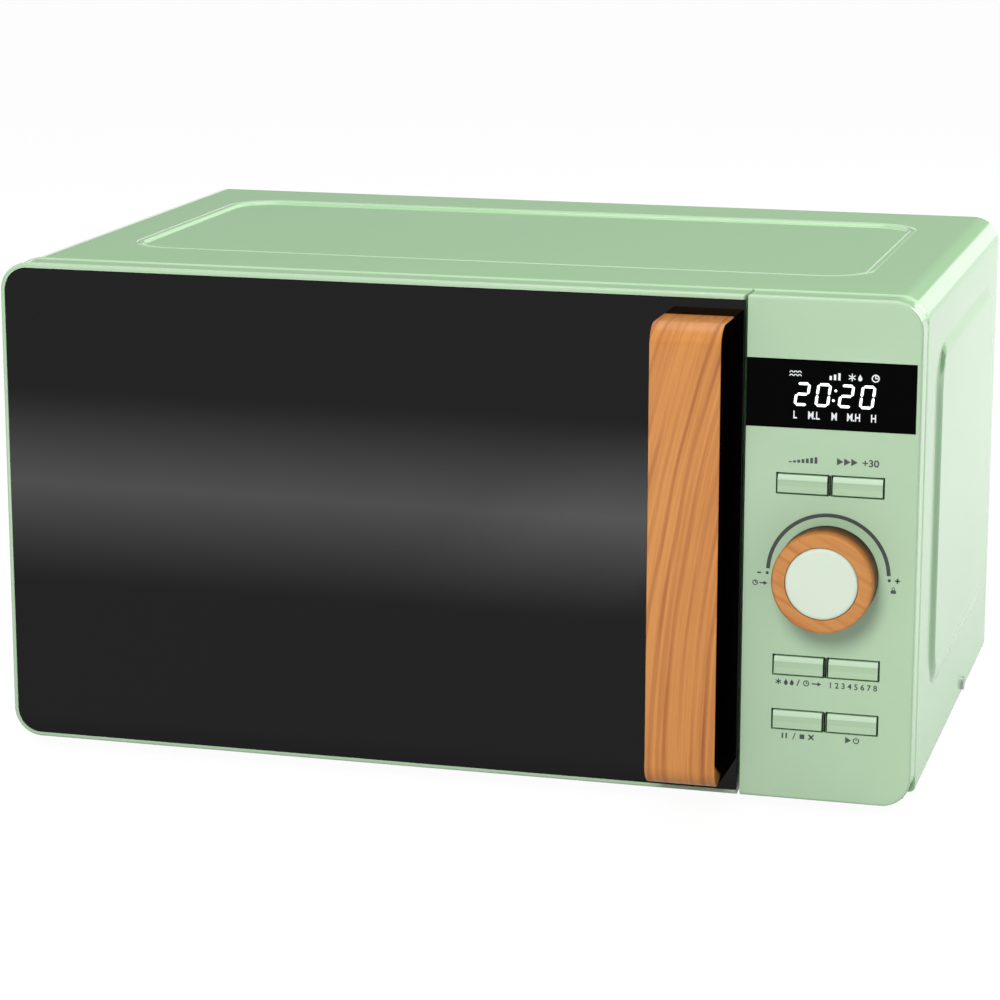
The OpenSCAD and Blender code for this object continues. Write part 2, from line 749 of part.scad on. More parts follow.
module thermostats() {
    r = 8;
    h = 8;
    d = 220;
    drop = 20;
    color(black) {
        translate([yoke_x + yoke_w / 2, back(guide_y), tube_z + magnetron_h / 2]) cylinder(r = r, h = h);
        rod_x(d, cav_top - drop, r, bay_left, bay_left + h);
    }
}

module filter_board() {
    edge = 2;
    left = fan_x - duct_w / 2 + edge;
    rear = rear_y - 5;
    z = board_rest_z + board_t;
    sunk = z - 0.5;
    condenser = [8, 20, 12];
    coil_r = 9;
    coil_h = 13.5;
    fuse_r = 3.1;
    fuse_l = 32;
    fuse_x = left + 46;
    fuse_rear = rear - 6;
    clip = [4, 6, 7];
    color(green_board) {
        block([left, fan_x + duct_w / 2 - edge], [rear_y - duct_d - 20, rear], [board_rest_z, z]);
        block([left + 4, left + 4 + condenser[0]], [rear - 35, rear - 35 + condenser[1]],
            [sunk, z + condenser[2]]);
        translate([left + 30, back(rear - 19), sunk]) cylinder(r = coil_r, h = coil_h + 0.5);
        for (d = [fuse_rear - fuse_l + 1, fuse_rear - 1 - clip[1]])
            block([fuse_x - clip[0] / 2, fuse_x + clip[0] / 2], [d, d + clip[1]], [sunk, z + clip[2]]);
        rod_y(fuse_x, z + clip[2] - 2, fuse_r, fuse_rear - fuse_l, fuse_rear);
    }
}

module cord_gland() {
    color(black) difference() {
        union() {
            rod_y(gland_x, gland_z, gland_r, rear_y - 3, rear_y + 6);
            rod_y(gland_x, gland_z, gland_r + 2.5, rear_y + skin_t, rear_y + 4);
            rod_y(gland_x, gland_z, gland_r + 1.5, rear_y - 3, rear_y);
        }
        rod_y(gland_x, gland_z, 3.6, rear_y - 4, rear_y + 7);
    }
}

// ---- door interlock ----

module latch_bracket() {
    low = bar_low - 4;
    high = bar_high + 4;
    color(cream) {
        block([bracket_x, bracket_x + bracket_t], [cab_front + skin_t, bracket_back], [low, high]);
        for (z = [low, high - 3])
            block([latch_x - 8, bracket_x + cut], [cab_front + skin_t, cab_front + 14], [z, z + 3]);
    }
}

module interlock_switches() {
    color(black) for (z = [hook_zs[0] - 8, hook_zs[1] - 8, z_mid - switch_h / 2])
        block([bracket_x - 10, bracket_x], [latch_tip + 4, latch_tip + 20], [z, z + switch_h]);
}

module hinge() {
    z = arm_z;
    color(steel) {
        block([hinge_x - arm_w / 2, hinge_x + arm_w / 2], [hinge_inset, cab_front + skin_t + 2],
            [z, z + hinge_arm_t]);
        translate([hinge_x, back(hinge_inset), z]) cylinder(r = arm_w / 2 + 0.5, h = hinge_arm_t);
        translate([hinge_x, back(hinge_inset), z]) cylinder(r = hinge_pin_r, h = pin_top - z);
        block([-in_x + 3, cav_left - skin_t - 1.5], [cab_front + skin_t, cab_front + skin_t + 2],
            [z - 34, z + hinge_arm_t + 1]);
    }
}

module upper_hinge() { hinge(); }

module lower_hinge() { translate([0, 0, 2 * z_mid]) mirror([0, 0, 1]) hinge(); }

// ---- door ----

// The door's outline seen from above, rounded behind the hinge axis
module door_plan() {
    y = back(hinge_inset);
    translate([hinge_x, back(0)]) square([door_right - hinge_x, moulding_d]);
    translate([-half_w, back(0)]) square([hinge_inset + cut, hinge_inset]);
    intersection() {
        translate([hinge_x, y]) circle(hinge_back_r);
        translate([-half_w, y - cut]) square([hinge_inset + cut, moulding_d - hinge_inset + cut]);
    }
}

// The door seen from the front, and the hollow inside its walls up to a given X
module door_outline() {
    outline(-half_w, z_low, door_right, z_high, [corner_r, 0, 0, corner_r]);
}

module door_inside(right) {
    r = corner_r - door_wall;
    outline(-half_w + door_wall, z_low + door_wall, right, z_high - door_wall, [r, 0, 0, r]);
}

module door_slice() {
    translate([0, 0, z_low]) linear_extrude(body_h) door_plan();
}

// Clearance in the door for one hinge arm, at the arm's lower face
module arm_cut(z) {
    block([-half_w - cut, hinge_x + arm_w], [hinge_inset - arm_w / 2 - 2, moulding_d + cut],
        [z - arm_gap, z + hinge_arm_t + arm_gap]);
}

module latch_guides() {
    for (z = [z_mid - 22, z_mid + 14]) difference() {
        block([latch_x - latch_bar / 2 - 2.5, latch_x + latch_bar / 2 + 2.5],
            [web_back - 0.01, latch_front + latch_bar - 1], [z, z + 8]);
        block([latch_x - latch_bar / 2 - fit_gap, latch_x + latch_bar / 2 + fit_gap],
            [latch_front - fit_gap, latch_front + latch_bar + cut], [z - cut, z + 9]);
    }
    block([latch_x - 4, latch_x + 4], [web_back - 0.01, latch_front + latch_bar],
        [spring_top, spring_top + 3]);
}

module door_frame() {
    boss_z = arm_z + hinge_arm_t + arm_gap;
    color(mint) difference() {
        union() {
            difference() {
                intersection() {
                    door_slice();
                    upright(-cut, moulding_d + cut) door_outline();
                }
                upright(-cut, glass_t)
                    outline(-half_w + rim_w, z_low + rim_w, door_right + cut, z_high - rim_w,
                        [corner_r - rim_w, 0, 0, corner_r - rim_w]);
                upright(web_back, moulding_d + cut) door_inside(door_right - door_wall);
                upright(glass_t - 0.01, moulding_d + cut) door_inside(hinge_x + arm_w + 2);
                block([choke_left + choke_w + 6, choke_right - choke_w - 6], [0, web_back + cut],
                    [choke_low + choke_w + 6, choke_high - choke_w - 6]);
            }
            intersection() {
                upright(0, moulding_d) door_outline();
                for (flip = [0, 1]) translate([0, 0, flip * 2 * z_mid]) mirror([0, 0, flip])
                    translate([hinge_x, back(hinge_inset), boss_z])
                        cylinder(r = boss_r, h = z_high - boss_z);
            }
            latch_guides();
        }
        for (flip = [0, 1]) translate([0, 0, flip * 2 * z_mid]) mirror([0, 0, flip]) {
            translate([hinge_x, back(hinge_inset), boss_z - cut])
                cylinder(r = hinge_pin_r + running_gap, h = pin_top + fit_gap - boss_z + cut);
            arm_cut(arm_z);
        }
        for (z = handle_screw_zs) rod_y(latch_x, z, handle_screw_r + 0.2, -cut, web_back + cut);
    }
}

module door_glass() {
    edge = rim_w + 0.1;
    color(black) difference() {
        upright(0, glass_t)
            outline(-half_w + edge, z_low + edge, door_right, z_high - edge,
                [corner_r - rim_w, 0, 0, corner_r - rim_w]);
        for (z = handle_screw_zs) rod_y(latch_x, z, handle_screw_r + 0.2, -cut, glass_t + cut);
    }
}

module door_choke() {
    inner = choke_w + choke_t;
    color(steel) difference() {
        block([choke_left, choke_right], [web_back, choke_back], [choke_low, choke_high]);
        difference() {
            block([choke_left + choke_t, choke_right - choke_t], [web_back + choke_t, choke_back + cut],
                [choke_low + choke_t, choke_high - choke_t]);
            block([choke_left + choke_w, choke_right - choke_w], [0, choke_back + 2 * cut],
                [choke_low + choke_w, choke_high - choke_w]);
        }
        block([choke_left + inner, choke_right - inner], [web_back - cut, choke_back - choke_t],
            [choke_low + inner, choke_high - inner]);
        block([choke_left + inner + 8, choke_right - inner - 8], [web_back, choke_back + cut],
            [choke_low + inner + 8, choke_high - inner - 8]);
    }
}

module door_screen() {
    inner = choke_w + choke_t + 1;
    color(grey) block([choke_left + inner, choke_right - inner],
        [choke_back - choke_t - 0.6, choke_back - choke_t], [choke_low + inner, choke_high - inner]);
}

module choke_cover() {
    front = choke_back + 0.2;
    window = choke_w + 8;
    color(grey) difference() {
        block([choke_left, cover_right], [front, front + cover_t], [choke_low, choke_high]);
        block([choke_left + window, choke_right - window], [front - cut, front + cover_t + cut],
            [choke_low + window, choke_high - window]);
        for (z = hook_zs)
            block([latch_x - latch_w / 2 - 1, latch_x + latch_w / 2 + 1],
                [front - cut, front + cover_t + cut],
                [z - 1, z + hook_h + latch_travel + 1]);
    }
}

module inner_window() {
    window = choke_w + 8 + 0.2;
    color([0.3, 0.3, 0.32, 0.5]) block([choke_left + window, choke_right - window],
        [choke_back + 0.2, choke_back + 0.2 + 1.8], [choke_low + window, choke_high - window]);
}

module latch_hook() {
    x = [latch_x - latch_w / 2, latch_x + latch_w / 2];
    color(cream) {
        block([latch_x - latch_bar / 2, latch_x + latch_bar / 2], [latch_front, latch_front + latch_bar],
            [bar_low, bar_high]);
        for (z = hook_zs) {
            block(x, [latch_front + latch_bar - cut, latch_tip], [z, z + hook_h - 3]);
            translate([x[0], 0, 0]) rotate([90, 0, 90]) linear_extrude(latch_w)
                polygon([[back(latch_tip - 8), z + hook_h - 3 - 0.01], [back(latch_tip), z + hook_h - 3 - 0.01],
                    [back(latch_tip), z + hook_h - 2], [back(latch_tip - 5), z + hook_h],
                    [back(latch_tip - 8), z + hook_h]]);
        }
    }
}

// A wire coil swept along a helix
spring_r = 2.2;
wire_r = 0.35;
spring_turns = 7;
module latch_spring() {
    sides = 6;
    steps = spring_turns * 9;
    low = bar_high + fit_gap + wire_r;
    high = spring_top - fit_gap - wire_r;
    function ring(i, k) = let (a = 360 * spring_turns * i / steps, b = 360 * k / sides)
        [latch_x + (spring_r + wire_r * cos(b)) * cos(a),
         back(latch_front + latch_bar / 2) + (spring_r + wire_r * cos(b)) * sin(a),
         low + (high - low) * i / steps + wire_r * sin(b)];
    points = [for (i = [0:steps], k = [0:sides - 1]) ring(i, k)];
    sleeve = [for (i = [0:steps - 1], k = [0:sides - 1])
        [i * sides + k, i * sides + (k + 1) % sides, (i + 1) * sides + (k + 1) % sides, (i + 1) * sides + k]];
    first_end = [[for (k = [0:sides - 1]) sides - 1 - k]];
    last_end = [[for (k = [0:sides - 1]) steps * sides + k]];
    color(steel) polyhedron(points, concat(sleeve, first_end, last_end));
}

module handle() {
    color(wood) difference() {
        translate([handle_right - handle_w, 0, 0]) rotate([90, 0, 90]) linear_extrude(handle_w)
            difference() {
                outline(back(-handle_reach), handle_low, back(0), handle_high,
                    [handle_bend_r, 0, 0, handle_bend_r]);
                outline(back(-handle_reach + handle_t), handle_low + handle_leg, back(cut),
                    handle_high - handle_leg, [handle_inner_r, 0, 0, handle_inner_r]);
            }
        for (z = handle_screw_zs) rod_y(latch_x, z, handle_screw_r, -14, cut);
    }
}

module handle_screws() {
    color(steel) for (z = handle_screw_zs) {
        rod_y(latch_x, z, handle_screw_r - running_gap, -12, web_back + cut);
        rod_y(latch_x, z, 3.2, web_back, web_back + 2.2);
    }
}

// ---- control panel ----

function button_x(i) = knob_x + (i % 2 == 0 ? -1 : 1) * (button_w + button_gap) / 2;
function button_z(i) = z_low + button_rows[floor(i / 2)];

module control_panel() {
    window_x = [seam_x - cut, half_w - rim_w];
    module skirt(inset) {
        right = in_x - skin_t - 2 * fit_gap - inset;
        outline(seam_x + inset + 9, base_high + 1 + inset, right, in_high - 0.5 - inset,
            [0, 1, corner_r - 3 - inset, 0]);
    }
    color(mint) {
        difference() {
            upright(0, panel_deep)
                outline(seam_x, z_low, half_w, z_high, [0, corner_r, corner_r, 0]);
            upright(wall_t, panel_deep + cut)
                outline(seam_x + wall_t, z_low + wall_t, half_w - wall_t, z_high - wall_t,
                    [0, corner_r - wall_t, corner_r - wall_t, 0]);
            block(window_x, [-cut, display_t], [display_low, display_low + display_h]);
            block([seam_x + 12, half_w - rim_w - 12], [0, wall_t + cut],
                [display_low + 3, display_low + display_h - 3]);
            rod_y(knob_x, knob_zc, shaft_r + 1.5, -cut, wall_t + cut);
            for (i = [0:5])
                block([button_x(i) - button_w / 2 - fit_gap, button_x(i) + button_w / 2 + fit_gap],
                    [-cut, wall_t + cut],
                    [button_z(i) - button_h / 2 - fit_gap, button_z(i) + button_h / 2 + fit_gap]);
        }
        difference() {
            upright(wall_t - 0.5, cab_front + 5) skirt(0);
            upright(0, cab_front + 6) skirt(1.5);
            block([seam_x, seam_x + 12], [wall_t - cut, cab_front + 6], [z_low, z_high]);
        }
        for (x = [board_left + 5, board_right - 5], z = [z_low + 22, z_high - 20])
            rod_y(x, z, post_r, wall_t - 0.5, board_front);
    }
}

module display_window() {
    color(black) block([seam_x, half_w - rim_w - 0.1], [0, display_t],
        [display_low + 0.1, display_low + display_h - 0.1]);
}

module display_module() {
    color(grey) block([knob_x - 26, knob_x + 26], [display_t + 0.3, board_front],
        [display_low + 4, display_low + display_h - 4]);
}

module control_board() {
    rear = board_front + board_t;
    color(green_board) {
        block([board_left, board_right], [board_front, rear], [z_low + 16, z_high - 12]);
        for (i = [0:5]) block([button_x(i) - 3, button_x(i) + 3], [board_front - 3.5, board_front + 0.5],
            [button_z(i) - 3, button_z(i) + 3]);
        for (z = [z_mid + 20, z_mid + 45])
            block([knob_x - 22, knob_x - 4], [rear - 0.5, rear + 15], [z, z + 16]);
        rod_y(knob_x + 14, z_mid + 40, 6, rear - 0.5, rear + 9);
        block([knob_x - 10, knob_x + 20], [rear - 0.5, rear + 8], [z_mid - 60, z_mid - 50]);
    }
}

module encoder() {
    color(steel) difference() {
        union() {
            block([knob_x - 6.5, knob_x + 6.5], [board_front - 7, board_front],
                [knob_zc - 6.5, knob_zc + 6.5]);
            rod_y(knob_x, knob_zc, shaft_r + 1.2, wall_t - 1.5, board_front - 6);
        }
        rod_y(knob_x, knob_zc, shaft_r + running_gap, 0, board_front - 1);
    }
}

module encoder_shaft() {
    color(steel) rod_y(knob_x, knob_zc, shaft_r, -knob_reach + 5, board_front - 2);
}

module knob_ring() {
    color(wood) difference() {
        rod_y(knob_x, knob_zc, knob_d / 2, -knob_reach, -knob_gap);
        rod_y(knob_x, knob_zc, knob_cap_d / 2, -knob_reach - cut, -knob_gap + cut);
    }
}

module knob_cap() {
    color(mint) difference() {
        union() {
            rod_y(knob_x, knob_zc, knob_cap_d / 2, -knob_reach - 0.5, -knob_reach + 3);
            rod_y(knob_x, knob_zc, 7, -knob_reach + 2, -knob_gap);
            for (a = [0, 90]) translate([knob_x, 0, knob_zc]) rotate([0, a, 0])
                translate([-knob_cap_d / 2 + fit_gap, back(-knob_reach + 2), -1])
                    cube([knob_cap_d - 2 * fit_gap, knob_reach - knob_gap - 4, 2]);
        }
        rod_y(knob_x, knob_zc, shaft_r, -knob_reach + 5, cut);
    }
}

module button(i) {
    x = button_x(i);
    z = button_z(i);
    lip = 0.8;
    lip_front = wall_t + 0.3;
    color(mint) {
        block([x - button_w / 2, x + button_w / 2], [-button_out, lip_front + 1],
            [z - button_h / 2, z + button_h / 2]);
        block([x - button_w / 2 + 1, x + button_w / 2 - 1], [lip_front, lip_front + 1],
            [z - button_h / 2 - lip, z + button_h / 2 + lip]);
        rod_y(x, z, 2, lip_front, board_front - 3.5 - button_travel - 0.15);
    }
}

// ---- feet and fasteners ----

module feet() {
    color(black) for (p = foot_spots) translate([p[0], p[1], 0]) {
        cylinder(r1 = foot_r - 2, r2 = foot_r, h = base_low);
        cylinder(r = 3, h = base_high + 2);
    }
}

module cabinet_screws() {
    color(steel) {
        for (p = rear_screws) {
            rod_y(p[0], p[1], screw_r, body_d - 8, body_d + 1);
            rod_y(p[0], p[1], 4, body_d, body_d + 2.2);
        }
        for (side = [-1, 1]) {
            inner = side * (cab_x - 6);
            outer = side * (cab_x + 0.5);
            rod_x(side_screw[0], side_screw[1], screw_r, min(inner, outer), max(inner, outer));
            rod_x(side_screw[0], side_screw[1], 3.5, min(side * cab_x, side * (cab_x + 1.4)),
                max(side * cab_x, side * (cab_x + 1.4)));
        }
    }
}

cabinet();
base_plate();
rear_panel();
oven_cavity();
waveguide();
waveguide_cover();
turntable_motor();
turntable_coupler();
roller_ring();
roller(0);  // roller_1
roller(1);  // roller_2
roller(2);  // roller_3
glass_tray();
magnetron_frame();
magnetron_anode();
magnetron_fins();
magnetron_magnets();
transformer_core();
transformer_coils();
capacitor();
capacitor_clamp();
diode();
fan_shroud();
fan_motor();
fan_blade();
lamp_holder();
oven_lamp();
thermostats();
filter_board();
cord_gland();
latch_bracket();
interlock_switches();
upper_hinge();
lower_hinge();
door_frame();
door_glass();
door_choke();
door_screen();
choke_cover();
inner_window();
latch_hook();
latch_spring();
handle();
handle_screws();
control_panel();
display_window();
display_module();
control_board();
encoder();
encoder_shaft();
knob_ring();
knob_cap();
button(0);  // button_1
button(1);  // button_2
button(2);  // button_3
button(3);  // button_4
button(4);  // button_5
button(5);  // button_6
feet();
cabinet_screws();
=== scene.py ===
"""Looks of the microwave oven: camera, light, finishes and the pieces that dress the frame."""
import math
import bpy
import bmesh
from mathutils import Matrix, Vector


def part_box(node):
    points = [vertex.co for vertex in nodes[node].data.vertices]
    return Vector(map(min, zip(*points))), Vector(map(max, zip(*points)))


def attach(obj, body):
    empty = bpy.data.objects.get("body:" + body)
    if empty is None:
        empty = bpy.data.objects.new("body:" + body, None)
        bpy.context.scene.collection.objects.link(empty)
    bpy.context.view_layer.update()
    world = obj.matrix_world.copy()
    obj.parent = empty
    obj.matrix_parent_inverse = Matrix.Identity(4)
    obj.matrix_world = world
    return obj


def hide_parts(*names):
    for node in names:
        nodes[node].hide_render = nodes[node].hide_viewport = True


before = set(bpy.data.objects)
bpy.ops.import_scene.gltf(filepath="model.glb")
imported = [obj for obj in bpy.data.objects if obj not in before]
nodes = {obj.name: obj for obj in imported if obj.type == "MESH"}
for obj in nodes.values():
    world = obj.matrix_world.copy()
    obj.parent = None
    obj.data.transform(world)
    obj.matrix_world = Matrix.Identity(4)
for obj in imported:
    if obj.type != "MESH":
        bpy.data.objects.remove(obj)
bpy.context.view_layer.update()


# ---------------------------------------------------------------- measures, most of them taken from the frame

MM = 0.001
MOULDING = 21 * MM      # depth of the door and panel mouldings
CORNER = 14 * MM        # radius of their outer corners
SHEET = 0.9 * MM        # thickness of the cabinet's steel
SIDE_PRESS = 2 * MM     # how far the pads in its sides are pressed out

case_low, case_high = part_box("cabinet")
door_low, door_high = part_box("door_frame")
panel_low, panel_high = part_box("control_panel")
window_low, window_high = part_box("display_window")
handle_low, handle_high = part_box("handle")
ring_low, ring_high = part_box("knob_ring")
cap_low, cap_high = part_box("knob_cap")
glass_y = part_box("door_glass")[0].y
front_y = door_low.y
knob_x = (ring_low.x + ring_high.x) / 2
knob_z = (ring_low.z + ring_high.z) / 2


# ---------------------------------------------------------------- camera

def look(place, turn, tilt, roll, lens):
    """A camera at a place, turned about the vertical, tilted down and rolled, in degrees."""
    turn, tilt, roll = (math.radians(angle) for angle in (turn, tilt, roll))
    forward = Vector((math.sin(turn) * math.cos(tilt), math.cos(turn) * math.cos(tilt), -math.sin(tilt)))
    right = Vector((math.cos(turn), -math.sin(turn), 0))
    up = right.cross(forward)
    side = math.cos(roll) * right + math.sin(roll) * up
    over = -math.sin(roll) * right + math.cos(roll) * up
    data = bpy.data.cameras.new("camera")
    data.lens = lens
    data.sensor_width = 36
    camera = bpy.data.objects.new("camera", data)
    matrix = Matrix((side, over, -forward)).transposed().to_4x4()
    matrix.translation = Vector(place)
    camera.matrix_world = matrix
    bpy.context.scene.collection.objects.link(camera)
    bpy.context.scene.camera = camera


look((0.4221, -1.5887, 0.4914), -15.204, 12.974, 0.05, 117.2)


# ---------------------------------------------------------------- short ways to lay shader nodes

def feed(tree, node, inputs):
    """Sets each input of a node to a value, or links it where a socket is given."""
    for label, value in inputs.items():
        if isinstance(value, bpy.types.NodeSocket):
            tree.links.new(value, node.inputs[label])
        else:
            node.inputs[label].default_value = value


def add(tree, kind, inputs=None, **settings):
    node = tree.nodes.new("ShaderNode" + kind)
    for label, value in settings.items():
        setattr(node, label, value)
    feed(tree, node, inputs or {})
    return node


def compute(tree, operation, *values):
    return add(tree, "Math", dict(enumerate(values)), operation=operation).outputs[0]


def ramp(tree, value, low, high, out_low=0.0, out_high=1.0, smooth=False):
    """A value carried from one range to another, level past both ends."""
    sockets = {"Value": value, "From Min": low, "From Max": high, "To Min": out_low, "To Max": out_high}
    return add(tree, "MapRange", sockets, interpolation_type="SMOOTHSTEP" if smooth else "LINEAR").outputs[0]


def blend(tree, share, first, second, kind="MIX"):
    """Two colours blended by a share; the Mix node has its colour sockets at 6, 7 and 2."""
    return add(tree, "Mix", {0: share, 6: first, 7: second}, data_type="RGBA", blend_type=kind).outputs[2]


def noise(tree, vector, scale, detail=2.0, rough=0.5):
    sockets = {"Vector": vector, "Scale": scale, "Detail": detail, "Roughness": rough}
    return add(tree, "TexNoise", sockets).outputs["Fac"]


def stretched(tree, vector, scale, turn=(0, 0, 0)):
    turn = [math.radians(angle) for angle in turn]
    return add(tree, "Mapping", {"Vector": vector, "Rotation": turn, "Scale": scale}).outputs[0]


def place_of(tree, kind="Object"):
    return add(tree, "TexCoord").outputs[kind]


def axes(tree, vector):
    return add(tree, "SeparateXYZ", {0: vector}).outputs


def path_of(tree, kind):
    return add(tree, "LightPath").outputs[kind]


def seen_directly(tree):
    """One for camera, mirror and glass rays, nought for the rays that light things."""
    seen = compute(tree, "MAXIMUM", path_of(tree, "Is Camera Ray"), path_of(tree, "Is Glossy Ray"))
    return compute(tree, "MAXIMUM", seen, path_of(tree, "Is Transmission Ray"))


def new_material(name):
    material = bpy.data.materials.new(name)
    material.use_nodes = True
    tree = material.node_tree
    tree.nodes.clear()
    return material, tree, add(tree, "OutputMaterial")


# ---------------------------------------------------------------- studio: floor, world, lamps

def level_sheet(name, material, half_size, stretch=(1, 1, 1), place=(0, 0, 0)):
    shape = bmesh.new()
    bmesh.ops.create_grid(shape, x_segments=1, y_segments=1, size=half_size)
    bmesh.ops.scale(shape, vec=stretch, verts=shape.verts)
    bmesh.ops.translate(shape, vec=place, verts=shape.verts)
    mesh = bpy.data.meshes.new(name)
    shape.to_mesh(mesh)
    shape.free()
    mesh.materials.append(material)
    made = bpy.data.objects.new(name, mesh)
    bpy.context.scene.collection.objects.link(made)
    return made


def make_floor():
    """A grey floor that looks white; glossy faces see the white only in front of and beside the oven."""
    material, tree, output = new_material("studio_floor")
    place = axes(tree, place_of(tree))
    beside = ramp(tree, place["X"], 0.24, 0.31, 0.4, 1.0)
    ahead = ramp(tree, place["Y"], -0.1, -0.2)
    slant = compute(tree, "SUBTRACT", place["X"], compute(tree, "MULTIPLY", place["Y"], 0.25))
    near = ramp(tree, slant, 0.35, 0.5, 1.0, 0.0)
    lit = compute(tree, "MULTIPLY", compute(tree, "MAXIMUM", beside, ahead), near)
    lit = compute(tree, "MAXIMUM", lit, path_of(tree, "Is Camera Ray"))
    share = compute(tree, "MULTIPLY", seen_directly(tree), compute(tree, "MULTIPLY", lit, 0.9))
    matte = add(tree, "BsdfDiffuse", {"Color": (0.6, 0.6, 0.6, 1)})
    glow = add(tree, "Emission", {"Color": (1, 1, 1, 1), "Strength": 1.06})
    mix = add(tree, "MixShader", {0: share, 1: matte.outputs[0], 2: glow.outputs[0]})
    feed(tree, output, {0: mix.outputs[0]})
    floor = level_sheet("studio_floor", material, 6)


def make_world():
    """White for the camera; mirror images get a wall at the right, a low strip behind and a ceiling."""
    world = bpy.data.worlds.new("studio")
    bpy.context.scene.world = world
    world.use_nodes = True
    tree = world.node_tree
    tree.nodes.clear()
    place = axes(tree, place_of(tree, "Generated"))
    overhead = ramp(tree, place["Z"], 0.215, 0.26, 0.2, 1.0)
    aside = compute(tree, "MULTIPLY_ADD", place["Y"], -0.115, place["X"])
    behind = ramp(tree, place["Y"], 0.74, 0.8)
    right_wall = compute(tree, "MULTIPLY", ramp(tree, aside, -0.01, 0.015, 0.0, 1.5), behind)
    low_back = compute(tree, "MULTIPLY", ramp(tree, place["Z"], 0.125, 0.095), behind)
    bright = right_wall
    for other in (overhead, low_back, path_of(tree, "Is Camera Ray")):
        bright = compute(tree, "MAXIMUM", bright, other)
    ambient = add(tree, "Background", {"Color": (1, 1, 1, 1), "Strength": 0.36})
    white = add(tree, "Background", {"Color": bright, "Strength": 1})
    mix = add(tree, "MixShader", {0: seen_directly(tree), 1: ambient.outputs[0], 2: white.outputs[0]})
    add(tree, "OutputWorld", {0: mix.outputs[0]})


def make_reflector():
    """A low strip in front that only shiny faces see: the soft grey band in the door glass."""
    material, tree, output = new_material("reflector_strip")
    place = axes(tree, place_of(tree))
    tent = compute(tree, "MINIMUM", ramp(tree, place["Y"], -1.01, -0.70), ramp(tree, place["Y"], -0.45, -0.70))
    along = ramp(tree, place["X"], -0.15, -0.08, 3.75, 4.8)
    right_end = ramp(tree, place["X"], 0.0, 0.05, 1.0, 0.0)
    strength = compute(tree, "MULTIPLY", compute(tree, "POWER", tent, 1.2),
                       compute(tree, "MULTIPLY", along, right_end))
    glow = add(tree, "Emission", {"Strength": strength})
    clear = add(tree, "BsdfTransparent")
    both = add(tree, "AddShader", {0: glow.outputs[0], 1: clear.outputs[0]})
    feed(tree, output, {0: both.outputs[0]})
    strip = level_sheet("reflector_strip", material, 0.5, (1.0, 0.7, 1), (-0.4, -0.74, 0.002))
    strip.visible_camera = False
    strip.visible_diffuse = False
    strip.visible_shadow = False
    strip.visible_transmission = False


def lamp(name, place, aim, size, power):
    data = bpy.data.lights.new(name, "AREA")
    data.shape = "DISK"
    data.size = size
    data.energy = power
    light = bpy.data.objects.new(name, data)
    light.location = place
    light.rotation_euler = (Vector(aim) - Vector(place)).to_track_quat("-Z", "Y").to_euler()
    bpy.context.scene.collection.objects.link(light)
    return light


make_floor()
make_world()
make_reflector()
key_lamp = lamp("key_lamp", (0.0, -2.35, 1.62), (0, -0.13, 0.1), 1.1, 55)
key_lamp.visible_glossy = False
lamp("top_lamp", (0.1, 0.2, 2.1), (0, 0, 0.2), 1.3, 13)
lamp("side_lamp", (1.35, 1.45, 1.0), (0.2, 0, 0.12), 1.1, 40)


# ---------------------------------------------------------------- shared effects

def group(name, inputs):
    """An empty shader group: Vector and the inputs come in, colour, roughness and height go out."""
    tree = bpy.data.node_groups.new(name, "ShaderNodeTree")
    tree.interface.new_socket(name="Vector", in_out="INPUT", socket_type="NodeSocketVector")
    for label, value in inputs.items():
        kind = "NodeSocketColor" if isinstance(value, tuple) else "NodeSocketFloat"
        tree.interface.new_socket(name=label, in_out="INPUT", socket_type=kind).default_value = value
    for label, kind in (("Colour", "NodeSocketColor"), ("Roughness", "NodeSocketFloat"),
                        ("Height", "NodeSocketFloat")):
        tree.interface.new_socket(name=label, in_out="OUTPUT", socket_type=kind)
    return tree, tree.nodes.new("NodeGroupInput").outputs, tree.nodes.new("NodeGroupOutput")


def make_tone_group():
    """Slight unevenness of colour, gloss and surface that every moulded or painted face has."""
    tree, given, result = group("uneven_surface", {"Colour": (1, 1, 1, 1), "Shade": 0.9, "Gloss": 0.3,
                                                   "Gloss spread": 0.05})
    broad = noise(tree, given["Vector"], 9.0, 3.0)
    grey = add(tree, "CombineColor", dict.fromkeys(("Red", "Green", "Blue"), given["Shade"]))
    spread = compute(tree, "MULTIPLY", ramp(tree, broad, 0.3, 0.7, -1.0, 1.0), given["Gloss spread"])
    feed(tree, result, {
        "Colour": blend(tree, ramp(tree, broad, 0.35, 0.7), given["Colour"], grey.outputs[0], "MULTIPLY"),
        "Roughness": compute(tree, "ADD", spread, given["Gloss"]),
        "Height": noise(tree, given["Vector"], 420.0, 2.0)})
    return tree


